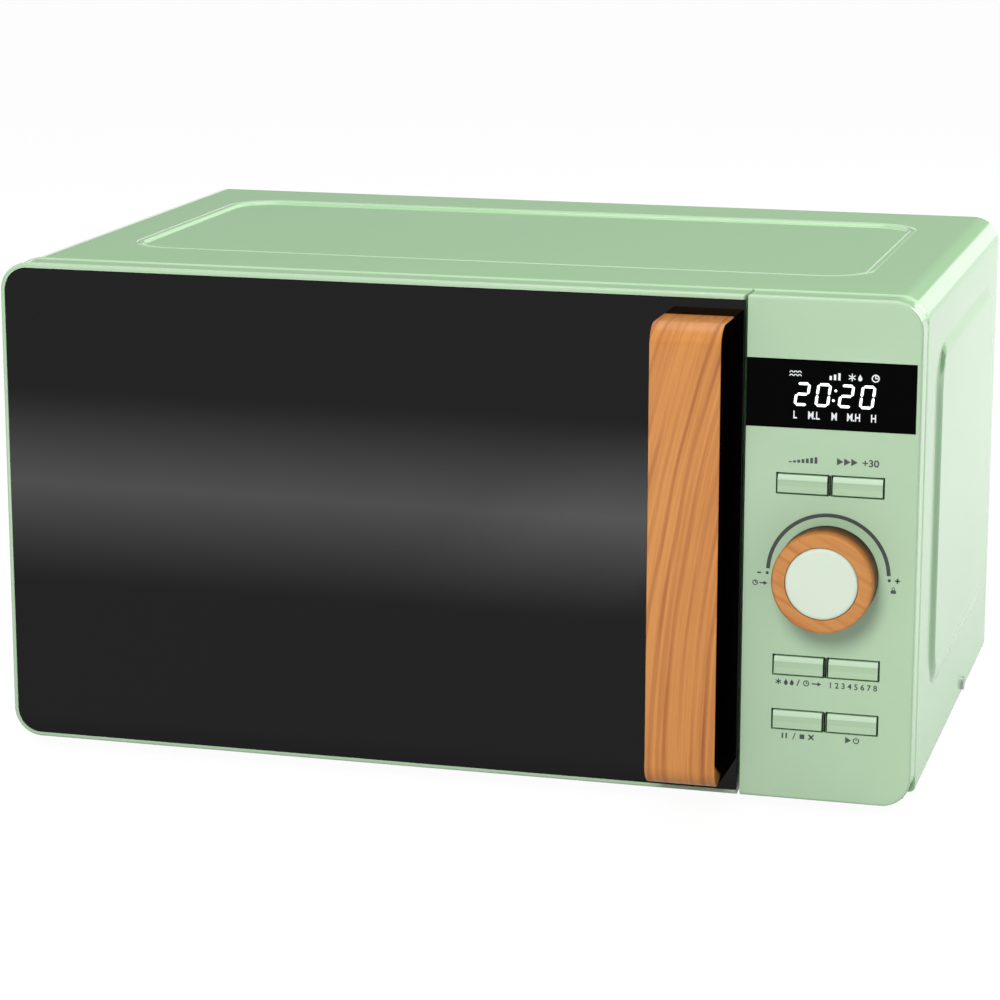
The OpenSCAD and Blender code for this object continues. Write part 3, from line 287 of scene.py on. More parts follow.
def make_wood_group():
    """Straight-grained beech: growth bands, streaks and short pores along the Z axis of the vector."""
    tree, given, result = group("beech_grain", {"Light": (0.72, 0.36, 0.13, 1), "Dark": (0.45, 0.19, 0.07, 1),
                                                "Pores": 0.5})
    vector = given["Vector"]
    waver = noise(tree, stretched(tree, vector, (16, 16, 5)), 1.0, 3.0, 0.5)
    streak = noise(tree, stretched(tree, vector, (430, 430, 8)), 1.0, 3.0, 0.6)
    patch = noise(tree, stretched(tree, vector, (90, 90, 6)), 1.0, 2.0)
    fibre = noise(tree, stretched(tree, vector, (2600, 2600, 130)), 1.0, 2.0, 0.6)
    across = compute(tree, "ADD", axes(tree, vector)["X"], compute(tree, "MULTIPLY", waver, 0.012))
    rings = compute(tree, "SINE", compute(tree, "MULTIPLY", across, 1050.0))
    band = ramp(tree, rings, 0.1, 1.0, smooth=True)
    pore = ramp(tree, fibre, 0.62, 0.72)
    shade = compute(tree, "MULTIPLY", band, ramp(tree, patch, 0.38, 0.66, 0.05, 0.6))
    shade = compute(tree, "ADD", shade, ramp(tree, streak, 0.4, 0.7, 0.0, 0.5))
    pits = compute(tree, "MULTIPLY", compute(tree, "MULTIPLY", pore, given["Pores"]), 0.35)
    share = add(tree, "Clamp", {"Value": compute(tree, "ADD", shade, pits)}).outputs[0]
    feed(tree, result, {
        "Colour": blend(tree, share, given["Light"], given["Dark"]),
        "Roughness": ramp(tree, share, 0.0, 1.0, 0.36, 0.5),
        "Height": compute(tree, "SUBTRACT", ramp(tree, streak, 0.3, 0.7, 0.0, 0.5), pore)})
    return tree


def make_brushed_group():
    """Fine lines of rolled or brushed sheet metal along the X axis of the vector."""
    tree, given, result = group("rolled_metal", {"Colour": (0.7, 0.7, 0.7, 1), "Gloss": 0.35})
    lines = noise(tree, stretched(tree, given["Vector"], (14, 900, 900)), 1.0, 3.0, 0.6)
    cloud = ramp(tree, noise(tree, given["Vector"], 14.0, 3.0), 0.3, 0.75, 0.0, 0.8)
    feed(tree, result, {
        "Colour": blend(tree, cloud, given["Colour"], (0.82, 0.83, 0.84, 1), "MULTIPLY"),
        "Roughness": compute(tree, "ADD", ramp(tree, lines, 0.3, 0.7, -0.07, 0.09), given["Gloss"]),
        "Height": lines})
    return tree


uneven_surface = make_tone_group()
beech_grain = make_wood_group()
rolled_metal = make_brushed_group()


# ---------------------------------------------------------------- finishes

def finish(name, effect, values, bump=0.02, depth=0.0002, turn=(0, 0, 0), scale=(1, 1, 1), bow=0.0, **sockets):
    """A Principled material that takes colour, roughness and relief from one shared effect.

    The bow bends the pattern sideways with the square of the height.
    """
    material, tree, output = new_material(name)
    vector = place_of(tree)
    if bow:
        place = axes(tree, vector)
        height = compute(tree, "SUBTRACT", place["Z"], 0.02)
        drift = compute(tree, "MULTIPLY", compute(tree, "MULTIPLY", height, height), bow)
        bent = {"X": compute(tree, "SUBTRACT", place["X"], drift), "Y": place["Y"], "Z": place["Z"]}
        vector = add(tree, "CombineXYZ", bent).outputs[0]
    used = add(tree, "Group", node_tree=effect)
    feed(tree, used, {"Vector": stretched(tree, vector, scale, turn), **values})
    relief = add(tree, "Bump", {"Strength": bump, "Distance": depth, "Height": used.outputs["Height"]})
    shader = add(tree, "BsdfPrincipled", {label.replace("_", " "): value for label, value in sockets.items()})
    feed(tree, shader, {"Base Color": used.outputs["Colour"], "Roughness": used.outputs["Roughness"],
                        "Normal": relief.outputs[0]})
    feed(tree, output, {0: shader.outputs[0]})
    return material


def smooth_finish(name, colour, gloss, shade, spread, bump, **sockets):
    """Paint, plastic or glass: the gloss is a roughness that varies by its spread; the shade dims patches."""
    values = {"Colour": (*colour, 1), "Shade": shade, "Gloss": gloss, "Gloss spread": spread}
    return finish(name, uneven_surface, values, bump, **sockets)


def metal_finish(name, colour, gloss, turn=(0, 0, 0), bump=0.05):
    values = {"Colour": (*colour, 1), "Gloss": gloss}
    return finish(name, rolled_metal, values, bump, turn=turn, Metallic=1.0)


def glow_finish(name, colour, strength):
    return smooth_finish(name, colour, 0.5, 0.98, 0.02, 0.0, Emission_Color=(*colour, 1), Emission_Strength=strength)


def wood_finish(name, light, dark, pores=0.5, **others):
    values = {"Light": (*light, 1), "Dark": (*dark, 1), "Pores": pores}
    return finish(name, beech_grain, values, depth=0.0003, **others)


def opened(material):
    """The tree of a finish, its shader and the colour that its effect puts out."""
    tree = material.node_tree
    kinds = {node.type: node for node in tree.nodes}
    return tree, kinds["BSDF_PRINCIPLED"], kinds["GROUP"].outputs["Colour"]


def paint_ring_side_shade(material):
    """Painted shade: the turned side of the ring is bare wood at its front and painted darker, to near black, towards
    the panel.
    """
    bare_wood, near_black = (0.5, 0.19, 0.045, 1), (0.02, 0.006, 0.002, 1)
    tree, shader, side_wood_shade = opened(material)
    depth = compute(tree, "SUBTRACT", axes(tree, place_of(tree))["Y"], ring_low.y)
    tone = blend(tree, ramp(tree, depth, 3 * MM, 9 * MM), bare_wood, side_wood_shade)
    tone = blend(tree, ramp(tree, depth, 9 * MM, 15 * MM), tone, near_black)
    feed(tree, shader, {"Base Color": tone})


def paint_grip_side_shade(material):
    """Painted shade: black sides of the grip, with wood in a slanting patch at the lower corner that is itself
    painted darker towards the back.
    """
    bare_wood, shaded_wood = (0.36, 0.15, 0.045, 1), (0.1, 0.04, 0.014, 1)
    tree, shader, side_shade_black = opened(material)
    place = axes(tree, place_of(tree))
    depth = compute(tree, "SUBTRACT", place["Y"], handle_low.y)
    height = compute(tree, "SUBTRACT", place["Z"], handle_low.z)
    upper = compute(tree, "ADD", height, compute(tree, "MULTIPLY", depth, 0.57))
    lower = compute(tree, "SUBTRACT", height, compute(tree, "MULTIPLY", depth, 0.5))
    unshaded_patch = compute(tree, "MULTIPLY", ramp(tree, upper, 13 * MM, 10.5 * MM), ramp(tree, lower, -3.5 * MM, -2 * MM))
    wood = blend(tree, ramp(tree, depth, 0.0, 14 * MM), bare_wood, shaded_wood)
    feed(tree, shader, {"Base Color": blend(tree, unshaded_patch, side_shade_black, wood)})


def perforate(material):
    """A staggered pattern of small round holes in a painted screen."""
    holes_per_metre = 420
    tree, shader, paint = opened(material)
    flat = stretched(tree, place_of(tree), (1, 0, 1))
    staggered = stretched(tree, flat, (holes_per_metre, 1, holes_per_metre), (0, 45, 0))
    cells = add(tree, "TexVoronoi", {"Vector": staggered, "Scale": 1.0, "Randomness": 0.0})
    solid = ramp(tree, cells.outputs["Distance"], 0.3, 0.36)
    feed(tree, shader, {"Base Color": blend(tree, solid, (0.001, 0.001, 0.001, 1), paint)})


mint_paint = smooth_finish("mint_paint", (0.36, 0.6, 0.33), 0.09, 0.96, 0.015, 0.01)
mint_plastic = smooth_finish("mint_plastic", (0.39, 0.55, 0.365), 0.14, 0.96, 0.02, 0.015)
# painted shade: a darker green for the front slope of the side pads
mint_fold_painted_shade = smooth_finish("mint_fold_painted_shade", (0.16, 0.34, 0.15), 0.12, 0.96, 0.015, 0.01)
# painted highlight for the button brows and painted shade for the band below them
mint_brow_painted_highlight = smooth_finish("mint_brow_painted_highlight", (0.5, 0.66, 0.48), 0.14, 0.97, 0.02, 0.015)
mint_waist_painted_shade = smooth_finish("mint_waist_painted_shade", (0.36, 0.51, 0.335), 0.14, 0.96, 0.02, 0.015)
mint_cap = smooth_finish("mint_cap", (0.6, 0.69, 0.57), 0.42, 0.97, 0.03, 0.02)
black_glass = smooth_finish("black_glass", (0.001, 0.001, 0.001), 0.04, 0.9, 0.01, 0.0, Specular_IOR_Level=0.2)
display_glass = smooth_finish("display_glass", (0.001, 0.001, 0.001), 0.05, 0.9, 0.01, 0.0, Specular_IOR_Level=0.02)
beech = wood_finish("beech_wood", (0.565, 0.232, 0.057), (0.31, 0.093, 0.026), bump=0.12, scale=(1, 0.12, 1),
                    bow=0.68, Specular_IOR_Level=0.35)
ring_grain = (0, 62, 0)
beech_ring = wood_finish("beech_ring", (0.535, 0.233, 0.062), (0.4, 0.146, 0.04), 0.3, bump=0.1,
                         turn=ring_grain, Specular_IOR_Level=0.35)
# painted shade: a darker wood for the ring's side, darkened further towards the panel
ring_side_painted_shade = wood_finish("ring_side_painted_shade", (0.17, 0.052, 0.011), (0.08, 0.022, 0.005), 0.3, bump=0.1,
                           turn=ring_grain, Specular_IOR_Level=0.05)
paint_ring_side_shade(ring_side_painted_shade)
# painted shade: near black for the sides and inner face of the grip
grip_side_painted_shade = smooth_finish("grip_side_painted_shade", (0.003, 0.002, 0.0015), 0.9, 0.8, 0.03, 0.05, Specular_IOR_Level=0.0)
paint_grip_side_shade(grip_side_painted_shade)
zinc_sheet = metal_finish("zinc_sheet", (0.62, 0.63, 0.64), 0.38)
spring_steel = metal_finish("spring_steel", (0.55, 0.55, 0.56), 0.3)
aluminium = metal_finish("aluminium", (0.78, 0.79, 0.8), 0.34)
copper = metal_finish("copper", (0.72, 0.32, 0.16), 0.3, (0, 90, 0), 0.4)
core_steel = metal_finish("core_steel", (0.3, 0.3, 0.31), 0.45, (0, 90, 0), 0.3)
cavity_enamel = smooth_finish("cavity_enamel", (0.58, 0.585, 0.565), 0.36, 0.92, 0.05, 0.05)
grey_plastic = smooth_finish("grey_plastic", (0.12, 0.125, 0.13), 0.45, 0.85, 0.06, 0.08)
white_plastic = smooth_finish("white_plastic", (0.78, 0.77, 0.71), 0.42, 0.93, 0.05, 0.05)
black_plastic = smooth_finish("black_plastic", (0.012, 0.012, 0.013), 0.42, 0.8, 0.06, 0.1)
rubber = smooth_finish("rubber_black", (0.015, 0.015, 0.015), 0.75, 0.7, 0.08, 0.25)
ferrite = smooth_finish("ferrite", (0.02, 0.02, 0.021), 0.6, 0.7, 0.1, 0.3)
mica = smooth_finish("mica", (0.55, 0.5, 0.38), 0.35, 0.8, 0.1, 0.1)
circuit_board = smooth_finish("circuit_board", (0.02, 0.11, 0.045), 0.35, 0.8, 0.08, 0.1)
clear_glass = smooth_finish("clear_glass", (0.9, 0.97, 0.95), 0.03, 0.97, 0.01, 0.0, Transmission_Weight=1.0, IOR=1.5)
smoked_window = smooth_finish("smoked_window", (0.25, 0.25, 0.26), 0.05, 0.95, 0.01, 0.0, Transmission_Weight=1.0,
                              IOR=1.3)
ink = smooth_finish("ink", (0.055, 0.065, 0.06), 0.5, 0.9, 0.03, 0.0)
lit_digits = glow_finish("lit_digits", (0.93, 0.95, 0.96), 1.0)
dim_marks = glow_finish("dim_marks", (0.6, 0.62, 0.63), 0.35)
screen_steel = smooth_finish("screen_steel", (0.035, 0.035, 0.036), 0.5, 0.9, 0.05, 0.02)
perforate(screen_steel)


# ---------------------------------------------------------------- making pieces

def at(value, target):
    return abs(value - target) < 0.02 * MM


def copy_of(name):
    """A merged copy of a CAD node's mesh with its flat fields joined."""
    shape = bmesh.new()
    shape.from_mesh(nodes[name].data)
    bmesh.ops.remove_doubles(shape, verts=shape.verts, dist=3e-6)
    bmesh.ops.dissolve_limit(shape, angle_limit=math.radians(0.5), verts=shape.verts, edges=shape.edges)
    return shape


def bevel(shape, geom, offset, segments, affect="EDGES", clamp=False):
    bmesh.ops.bevel(shape, geom=geom, offset=offset, offset_type="OFFSET", segments=segments, profile=0.5,
                    affect=affect, clamp_overlap=clamp, material=-1)


def round_edges(shape, wanted, radius, segments):
    """Rounds the sharp edges whose middle is wanted."""
    shape.normal_update()
    least = math.radians(25)
    sharp = [e for e in shape.edges if len(e.link_faces) == 2 and e.calc_face_angle(0) >= least]
    bevel(shape, [e for e in sharp if wanted((e.verts[0].co + e.verts[1].co) / 2)], radius, segments)


def cut_across(shape, faces, place, direction):
    """Cuts some faces, or all where None is given, along a plane."""
    if faces is None:
        geom = list(shape.verts) + list(shape.edges) + list(shape.faces)
    else:
        geom = faces + list({e for f in faces for e in f.edges} | {v for f in faces for v in f.verts})
    bmesh.ops.bisect_plane(shape, geom=geom, plane_co=place, plane_no=direction)


def block(shape, size, centre, turn=0):
    """A block turned about the Y axis, in degrees."""
    made = bmesh.ops.create_cube(shape, size=1)["verts"]
    bmesh.ops.scale(shape, vec=size, verts=made)
    bmesh.ops.rotate(shape, cent=(0, 0, 0), matrix=Matrix.Rotation(math.radians(turn), 3, "Y"), verts=made)
    bmesh.ops.translate(shape, vec=centre, verts=made)


def lathe(profile, centre):
    """A solid turned about a line along Y from (radius, y) points, which end on the line or close a ring."""
    shape = bmesh.new()
    axis = Vector((0, 1, 0))
    side = axis.orthogonal().normalized()
    points = [shape.verts.new(centre + side * radius + axis * y) for radius, y in profile]
    edges = [shape.edges.new(pair) for pair in zip(points, points[1:])]
    if profile[0][0] > 0 and profile[-1][0] > 0:
        edges.append(shape.edges.new((points[-1], points[0])))
    bmesh.ops.spin(shape, geom=points + edges, cent=centre, axis=axis, dvec=(0, 0, 0),
                   angle=2 * math.pi, steps=128, use_merge=True, use_duplicate=False)
    bmesh.ops.remove_doubles(shape, verts=shape.verts, dist=1e-6)
    bmesh.ops.recalc_face_normals(shape, faces=shape.faces)
    shape.normal_update()
    return shape


def even_shading(made):
    made.modifiers.new("even_shading", "WEIGHTED_NORMAL").keep_sharp = True


def piece(name, shape, body, materials, stands_for=(), angle=35, even=True):
    """Turns a bmesh into a finished piece that rides on a body."""
    mesh = bpy.data.meshes.new(name)
    shape.to_mesh(mesh)
    shape.free()
    mesh.shade_smooth()
    mesh.set_sharp_from_angle(angle=math.radians(angle))
    for material in materials:
        mesh.materials.append(material)
    made = bpy.data.objects.new(name, mesh)
    bpy.context.scene.collection.objects.link(made)
    if even:
        even_shading(made)
    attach(made, body)
    if stands_for:
        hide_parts(*stands_for)
    return made


# ---------------------------------------------------------------- cabinet

cab_x = case_high.x - SIDE_PRESS
cab_front, cab_back = case_low.y, case_high.y
FIELD_RADIUS = 24 * MM
# how far each border goes in and how far it moves out of the sheet, in millimetres
FIELD_STEPS = (1.6, -0.1), (1.9, -0.2), (0.5, -0.2), (0.3, -0.28), (0.35, -0.34), (0.25, -0.12), (0.2, -0.02)
PAD_STEPS = (1.0, 0.06), (1.8, 0.32), (2.2, 0.62), (2.2, 0.62), (1.8, 0.32), (1.0, 0.06)


def pressed_field(shape, corners, steps, normal, rim):
    """A rounded field whose borders step along the normal, with the flat sheet between it and the rim filled."""
    made = [shape.verts.new(c) for c in corners]
    shape.faces.new(made)
    bevel(shape, made, FIELD_RADIUS, 10, "VERTICES")
    middle = sum(corners, Vector()) / 4
    face = [f for f in shape.faces if (f.calc_center_median() - middle).length < 1e-4][0]
    outer = list(face.edges)
    for inset, move in steps:
        bmesh.ops.inset_region(shape, faces=[face], thickness=inset * MM, depth=0, use_even_offset=True,
                               use_boundary=True)
        bmesh.ops.translate(shape, verts=face.verts, vec=Vector(normal) * move * MM)
    bmesh.ops.triangle_fill(shape, use_beauty=True, use_dissolve=False, edges=rim + outer)


def open_box():
    """The folded sheet with open ends and a flange below each side; its three flats are out, their rims given."""
    shoulder, lower_fold, flange = 13.4 * MM, 3 * MM, 15 * MM
    shape = bmesh.new()
    front = cab_front + SHEET
    block(shape, (2 * cab_x, cab_back - front, case_high.z - case_low.z),
          (0, (front + cab_back) / 2, (case_low.z + case_high.z) / 2))
    along = [e for e in shape.edges if abs(e.verts[0].co.y - e.verts[1].co.y) > 0.1]
    bevel(shape, [e for e in along if e.verts[0].co.z > 0.1], shoulder, 12)
    lower = [e for e in shape.edges if abs(e.verts[0].co.y - e.verts[1].co.y) > 0.1
             and at(e.verts[0].co.z, case_low.z) and at(abs(e.verts[0].co.x), cab_x)]
    bevel(shape, lower, lower_fold, 5)
    shape.normal_update()
    bmesh.ops.delete(shape, geom=[f for f in shape.faces if abs(f.normal.y) > 0.9], context="FACES_ONLY")
    for side in (-1, 1):
        cut_across(shape, [f for f in shape.faces if f.normal.z < -0.99], (side * (cab_x - flange), 0, 0),
                   (side, 0, 0))
    middle = [f for f in shape.faces if f.normal.z < -0.99 and abs(f.calc_center_median().x) < 0.1]
    bmesh.ops.delete(shape, geom=middle, context="FACES")
    flats = {"top": [f for f in shape.faces if f.normal.z > 0.99999]}
    for side in (-1, 1):
        flats[side] = [f for f in shape.faces if side * f.normal.x > 0.99999]
    rims = {key: [e for f in faces for e in f.edges] for key, faces in flats.items()}
    bmesh.ops.delete(shape, geom=[f for faces in flats.values() for f in faces], context="FACES_ONLY")
    return shape, rims


def fold_borders(shape):
    """Turns the front edge of the sheet in with a soft lip and folds a flange inwards at the back."""
    middle_z, half_z = (case_low.z + case_high.z) / 2, (case_high.z - case_low.z) / 2
    lip, flange = ((0.3, -0.55), (0.7, -0.35), (1.2, 0.1)), ((9, 0),)
    for y, steps in ((cab_front + SHEET, lip), (cab_back, flange)):
        rim = [e for e in shape.edges if e.is_boundary and at(e.verts[0].co.y, y) and at(e.verts[1].co.y, y)]
        for inward, forward in steps:
            grown = bmesh.ops.extrude_edge_only(shape, edges=rim)["geom"]
            fresh = [v for v in grown if isinstance(v, bmesh.types.BMVert)]
            rim = [e for e in grown if isinstance(e, bmesh.types.BMEdge)]
            bmesh.ops.scale(shape, verts=fresh, vec=(1 - inward * MM / cab_x, 1, 1 - inward * MM / half_z),
                            space=Matrix.Translation((0, 0, -middle_z)))
            bmesh.ops.translate(shape, verts=fresh, vec=(0, forward * MM, 0))


def make_cabinet():
    """The top has a sunk field, each side a raised pad; the pad's front slope takes a darker green as painted shade.
    """
    shape, rims = open_box()
    x, z = 189.6 * MM, case_high.z
    front, back = front_y + 69 * MM, front_y + 252.6 * MM
    corners = [Vector(c) for c in ((-x, front, z), (x, front, z), (x, back, z), (-x, back, z))]
    pressed_field(shape, corners, FIELD_STEPS, (0, 0, 1), rims["top"])
    low, high = 46 * MM, 220 * MM
    front, back = front_y + 55 * MM, front_y + 272 * MM
    for side in (1, -1):
        x = side * cab_x
        corners = [Vector(c) for c in ((x, front, low), (x, back, low), (x, back, high), (x, front, high))]
        pressed_field(shape, corners[::side], PAD_STEPS, (side, 0, 0), rims[side])
    fold_borders(shape)
    bmesh.ops.remove_doubles(shape, verts=shape.verts, dist=2e-6)
    bmesh.ops.recalc_face_normals(shape, faces=shape.faces)
    lid = max(shape.faces, key=lambda f: f.calc_center_median().z)
    if lid.normal.z < 0:
        bmesh.ops.reverse_faces(shape, faces=shape.faces)
    shape.normal_update()
    slope_end = front + 15 * MM
    # painted shade: faces on the front slope of each side pad take the darker green
    for face in shape.faces:
        centre = face.calc_center_median()
        slope = abs(face.normal.x) > 0.5 and face.normal.y < -0.03 and abs(centre.x) > cab_x + 0.02 * MM
        face.material_index = 1 if slope and centre.y < slope_end else 0
    made = piece("cabinet_shell", shape, "oven", [mint_paint, mint_fold_painted_shade], ["cabinet"], 40, False)
    wall = made.modifiers.new("sheet", "SOLIDIFY")
    wall.thickness = SHEET
    wall.offset = -1
    wall.use_even_offset = True
    even_shading(made)


make_cabinet()


# ---------------------------------------------------------------- door and panel mouldings

def rim_test(low, high, side):
    """Gives a function that tells the inward direction at a place on a moulding's outer rim, or None off it."""
    middle, rim_x = (low.z + high.z) / 2, (high.x if side > 0 else low.x)
    def inward(place, slack=5e-5):
        cx = rim_x - side * CORNER
        for cz in (low.z + CORNER, high.z - CORNER):
            if (place.x - cx) * side > 0 and (place.z - cz) * (cz - middle) > 0:
                away = Vector((cx - place.x, 0, cz - place.z))
                return away.normalized() if abs(away.length - CORNER) < slack else None
        for edge, move in ((at(place.z, low.z), (0, 0, 1)), (at(place.z, high.z), (0, 0, -1)),
                           (at(place.x, rim_x), (-side, 0, 0))):
            if edge:
                return Vector(move)
        return None
    return inward


def sink_band(shape, inward):
    """A shallow band around the rim of a moulding, so that a thin raised line stays along its rear edge."""
    cuts = [front_y + cut * MM for cut in (3.0, 3.6, 17.0, 17.7)]
    depth, slack = 0.36 * MM, 0.1 * MM
    for y in cuts:
        rim = [f for f in shape.faces if abs(f.normal.y) < 0.3 and all(inward(v.co) for v in f.verts)]
        cut_across(shape, rim, (0, y, 0), (0, 1, 0))
        shape.normal_update()
    for point in shape.verts:
        if cuts[1] - slack < point.co.y < cuts[2] + slack and inward(point.co):
            bmesh.ops.translate(shape, verts=[point], vec=inward(point.co) * depth)


def make_moulding(name, node, low, high, side, body):
    """A moulding with a rounded front; its rim faces take the case's more saturated green as painted shade, its face
    keeps the plastic.
    """
    shape = copy_of(node)
    inward = rim_test(low, high, side)
    rim_x = high.x if side > 0 else low.x
    rear_y, lip = front_y + MOULDING, 2 * MM
    round_edges(shape, lambda m: at(m.y, front_y) and (inward(m, 0.3 * MM) or min(m.z - low.z, high.z - m.z) < lip),
                1.5 * MM, 5)
    round_edges(shape, lambda m: at(m.y, rear_y) and (at(m.z, high.z) or at(m.x, rim_x)), 0.4 * MM, 3)
    shape.normal_update()
    # painted shade: faces turned up, down and sideways take the case's green, the front faces keep the plastic's
    for face in shape.faces:
        face.material_index = 1 if abs(face.normal.y) < 0.3 else 0
    sink_band(shape, inward)
    piece(name, shape, body, [mint_plastic, mint_paint], [node])


def make_door_pane():
    shape = copy_of("door_glass")
    round_edges(shape, lambda m: at(m.y, glass_y), 0.35 * MM, 2)
    piece("door_pane", shape, "door", [black_glass], ["door_glass"])


def make_grip():
    """The wooden bail has its sides and inner face painted black as painted shade."""
    shape = copy_of("handle")
    sides = (handle_low.x, handle_high.x)
    round_edges(shape, lambda m: (at(m.x, sides[0]) or at(m.x, sides[1])) and m.y < handle_high.y - 0.1 * MM,
                1.3 * MM, 4)
    shape.normal_update()
    middle_z, inner_y = (handle_low.z + handle_high.z) / 2, handle_low.y + 6 * MM
    for face in shape.faces:
        centre = face.calc_center_median()
        inside = centre.y > inner_y and (face.normal.y > 0.3 or face.normal.z * (middle_z - centre.z) > 1e-4)
        # painted shade: side faces and inner faces take the black
        face.material_index = 1 if abs(face.normal.x) > 0.75 or inside else 0
    piece("handle_grip", shape, "door", [beech, grip_side_painted_shade], ["handle"])


make_moulding("door_moulding", "door_frame", door_low, door_high, -1, "door")
make_door_pane()
make_grip()
make_moulding("panel_moulding", "control_panel", panel_low, panel_high, 1, "oven")
piece("display_pane", copy_of("display_window"), "oven", [display_glass], ["display_window"])


# ---------------------------------------------------------------- buttons and knob

def make_button(number):
    """A cap with soft outer corners, a brow in painted highlight above a waist in painted shade, and its lip and stem
    behind.
    """
    name = "button_%d" % number
    margin = Vector((0.58, 0, 1.38)) * MM
    lean_back, soft, brow_radius = 0.84 * MM, 0.35 * MM, 1.1 * MM
    low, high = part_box(name)
    low, high = low + margin, high - margin
    middle = (low + high) / 2
    outer_x = low.x if middle.x < knob_x else high.x
    back_y, face_y = front_y + 3.8 * MM, front_y + 1 * MM
    shape = bmesh.new()
    block(shape, (high.x - low.x, back_y - low.y, high.z - low.z), (middle.x, (low.y + back_y) / 2, middle.z))
    brow = high.z - 2.7 * MM
    waist = brow - 2.6 * MM
    cut_across(shape, None, (0, 0, brow), (0, 0, 1))
    top = [v for v in shape.verts if at(v.co.z, high.z) and at(v.co.y, low.y)]
    bmesh.ops.translate(shape, vec=(0, lean_back, 0), verts=top)
    ends = [(e, e.verts[0].co, e.verts[1].co) for e in shape.edges]
    upright = [e for e, a, b in ends if abs(a.z - b.z) > 0.5 * MM and at(a.x, outer_x) and at(b.x, outer_x)
               and a.y < face_y and b.y < face_y]
    level = [e for e, a, b in ends if at(a.z, b.z) and at(a.y, b.y) and a.y < face_y]
    sides = [e for e, a, b in ends if at(a.x, b.x) and e not in upright and a.y < face_y and b.y < face_y]
    bevel(shape, [e for e in level if at(e.verts[0].co.z, brow)], brow_radius, 5, clamp=True)
    edges = [e for e in upright + level + sides if e.is_valid and not at(e.verts[0].co.z, brow)]
    bevel(shape, edges, soft, 3, clamp=True)
    cut_across(shape, None, (0, 0, waist), (0, 0, 1))
    shape.normal_update()
    # painted highlight on the front faces of the brow, painted shade on the front faces of the waist below it
    for face in shape.faces:
        centre = face.calc_center_median()
        if face.normal.y < -0.3 and centre.y < face_y and centre.z > waist:
            face.material_index = 1 if centre.z > brow + 0.1 * MM else 2
    lip = (high.x - low.x - 1.04 * MM, 1 * MM, high.z - low.z + 2.56 * MM)
    block(shape, lip, (middle.x, front_y + 3.3 * MM, middle.z))
    stem, radius = high.y - front_y - 3 * MM, 2 * MM
    made = bmesh.ops.create_cone(shape, cap_ends=True, segments=20, radius1=radius, radius2=radius,
                                 depth=stem)["verts"]
    bmesh.ops.rotate(shape, cent=(0, 0, 0), matrix=Matrix.Rotation(math.radians(90), 3, "X"), verts=made)
    bmesh.ops.translate(shape, vec=(middle.x, high.y - stem / 2, middle.z), verts=made)
    piece("push_button_cap_%d" % number, shape, "push_button_%d" % number,
          [mint_plastic, mint_brow_painted_highlight, mint_waist_painted_shade], [name])


def make_knob():
    """A turned ring, bare in front and darkened on its side by painted shade, around a pale cap with a cross of ribs
    inside.
    """
    centre = Vector((knob_x, 0, knob_z))
    r_out, r_in = (ring_high.x - ring_low.x) / 2 / MM, (cap_high.x - cap_low.x) / 2 / MM
    near, far = ring_low.y / MM, ring_high.y / MM
    hole = r_in + 0.05
    ring = ((hole, near + 0.9), (hole + 0.15, near + 0.3), (hole + 0.7, near), (r_out - 1.9, near),
            (r_out - 0.9, near + 0.3), (r_out - 0.3, near + 0.95), (r_out - 0.05, near + 1.9), (r_out, near + 3),
            (r_out, far - 0.5), (r_out - 0.5, far), (r_in, far), (r_in, near + 4), (hole, near + 3.6))
    shape = lathe([(radius * MM, y * MM) for radius, y in ring], centre)
    for face in shape.faces:
        # painted shade: the side faces of the ring take the darker wood
        face.material_index = 1 if abs(face.normal.y) < 0.5 else 0
    piece("knob_collar", shape, "knob", [beech_ring, ring_side_painted_shade], ["knob_ring"])
    top, back, rim = cap_low.y / MM, cap_high.y / MM, r_in - 0.03
    cap = ((0, top), (rim - 2.2, top), (rim - 0.9, top + 0.2), (rim - 0.25, top + 0.75), (rim, top + 1.6),
           (rim, top + 3.5), (7, top + 3.5), (7, back), (3, back), (3, top + 5.5), (0, top + 5.5))
    shape = lathe([(radius * MM, y * MM) for radius, y in cap], centre)
    for turn in (0, 90):
        block(shape, ((2 * r_in - 0.6) * MM, 14 * MM, 2 * MM), (knob_x, (top + 9.5) * MM, knob_z), turn)
    piece("knob_face", shape, "knob", [mint_cap], ["knob_cap"])


for number in range(1, 7):
    make_button(number)
make_knob()


# ---------------------------------------------------------------- printed and lit marks

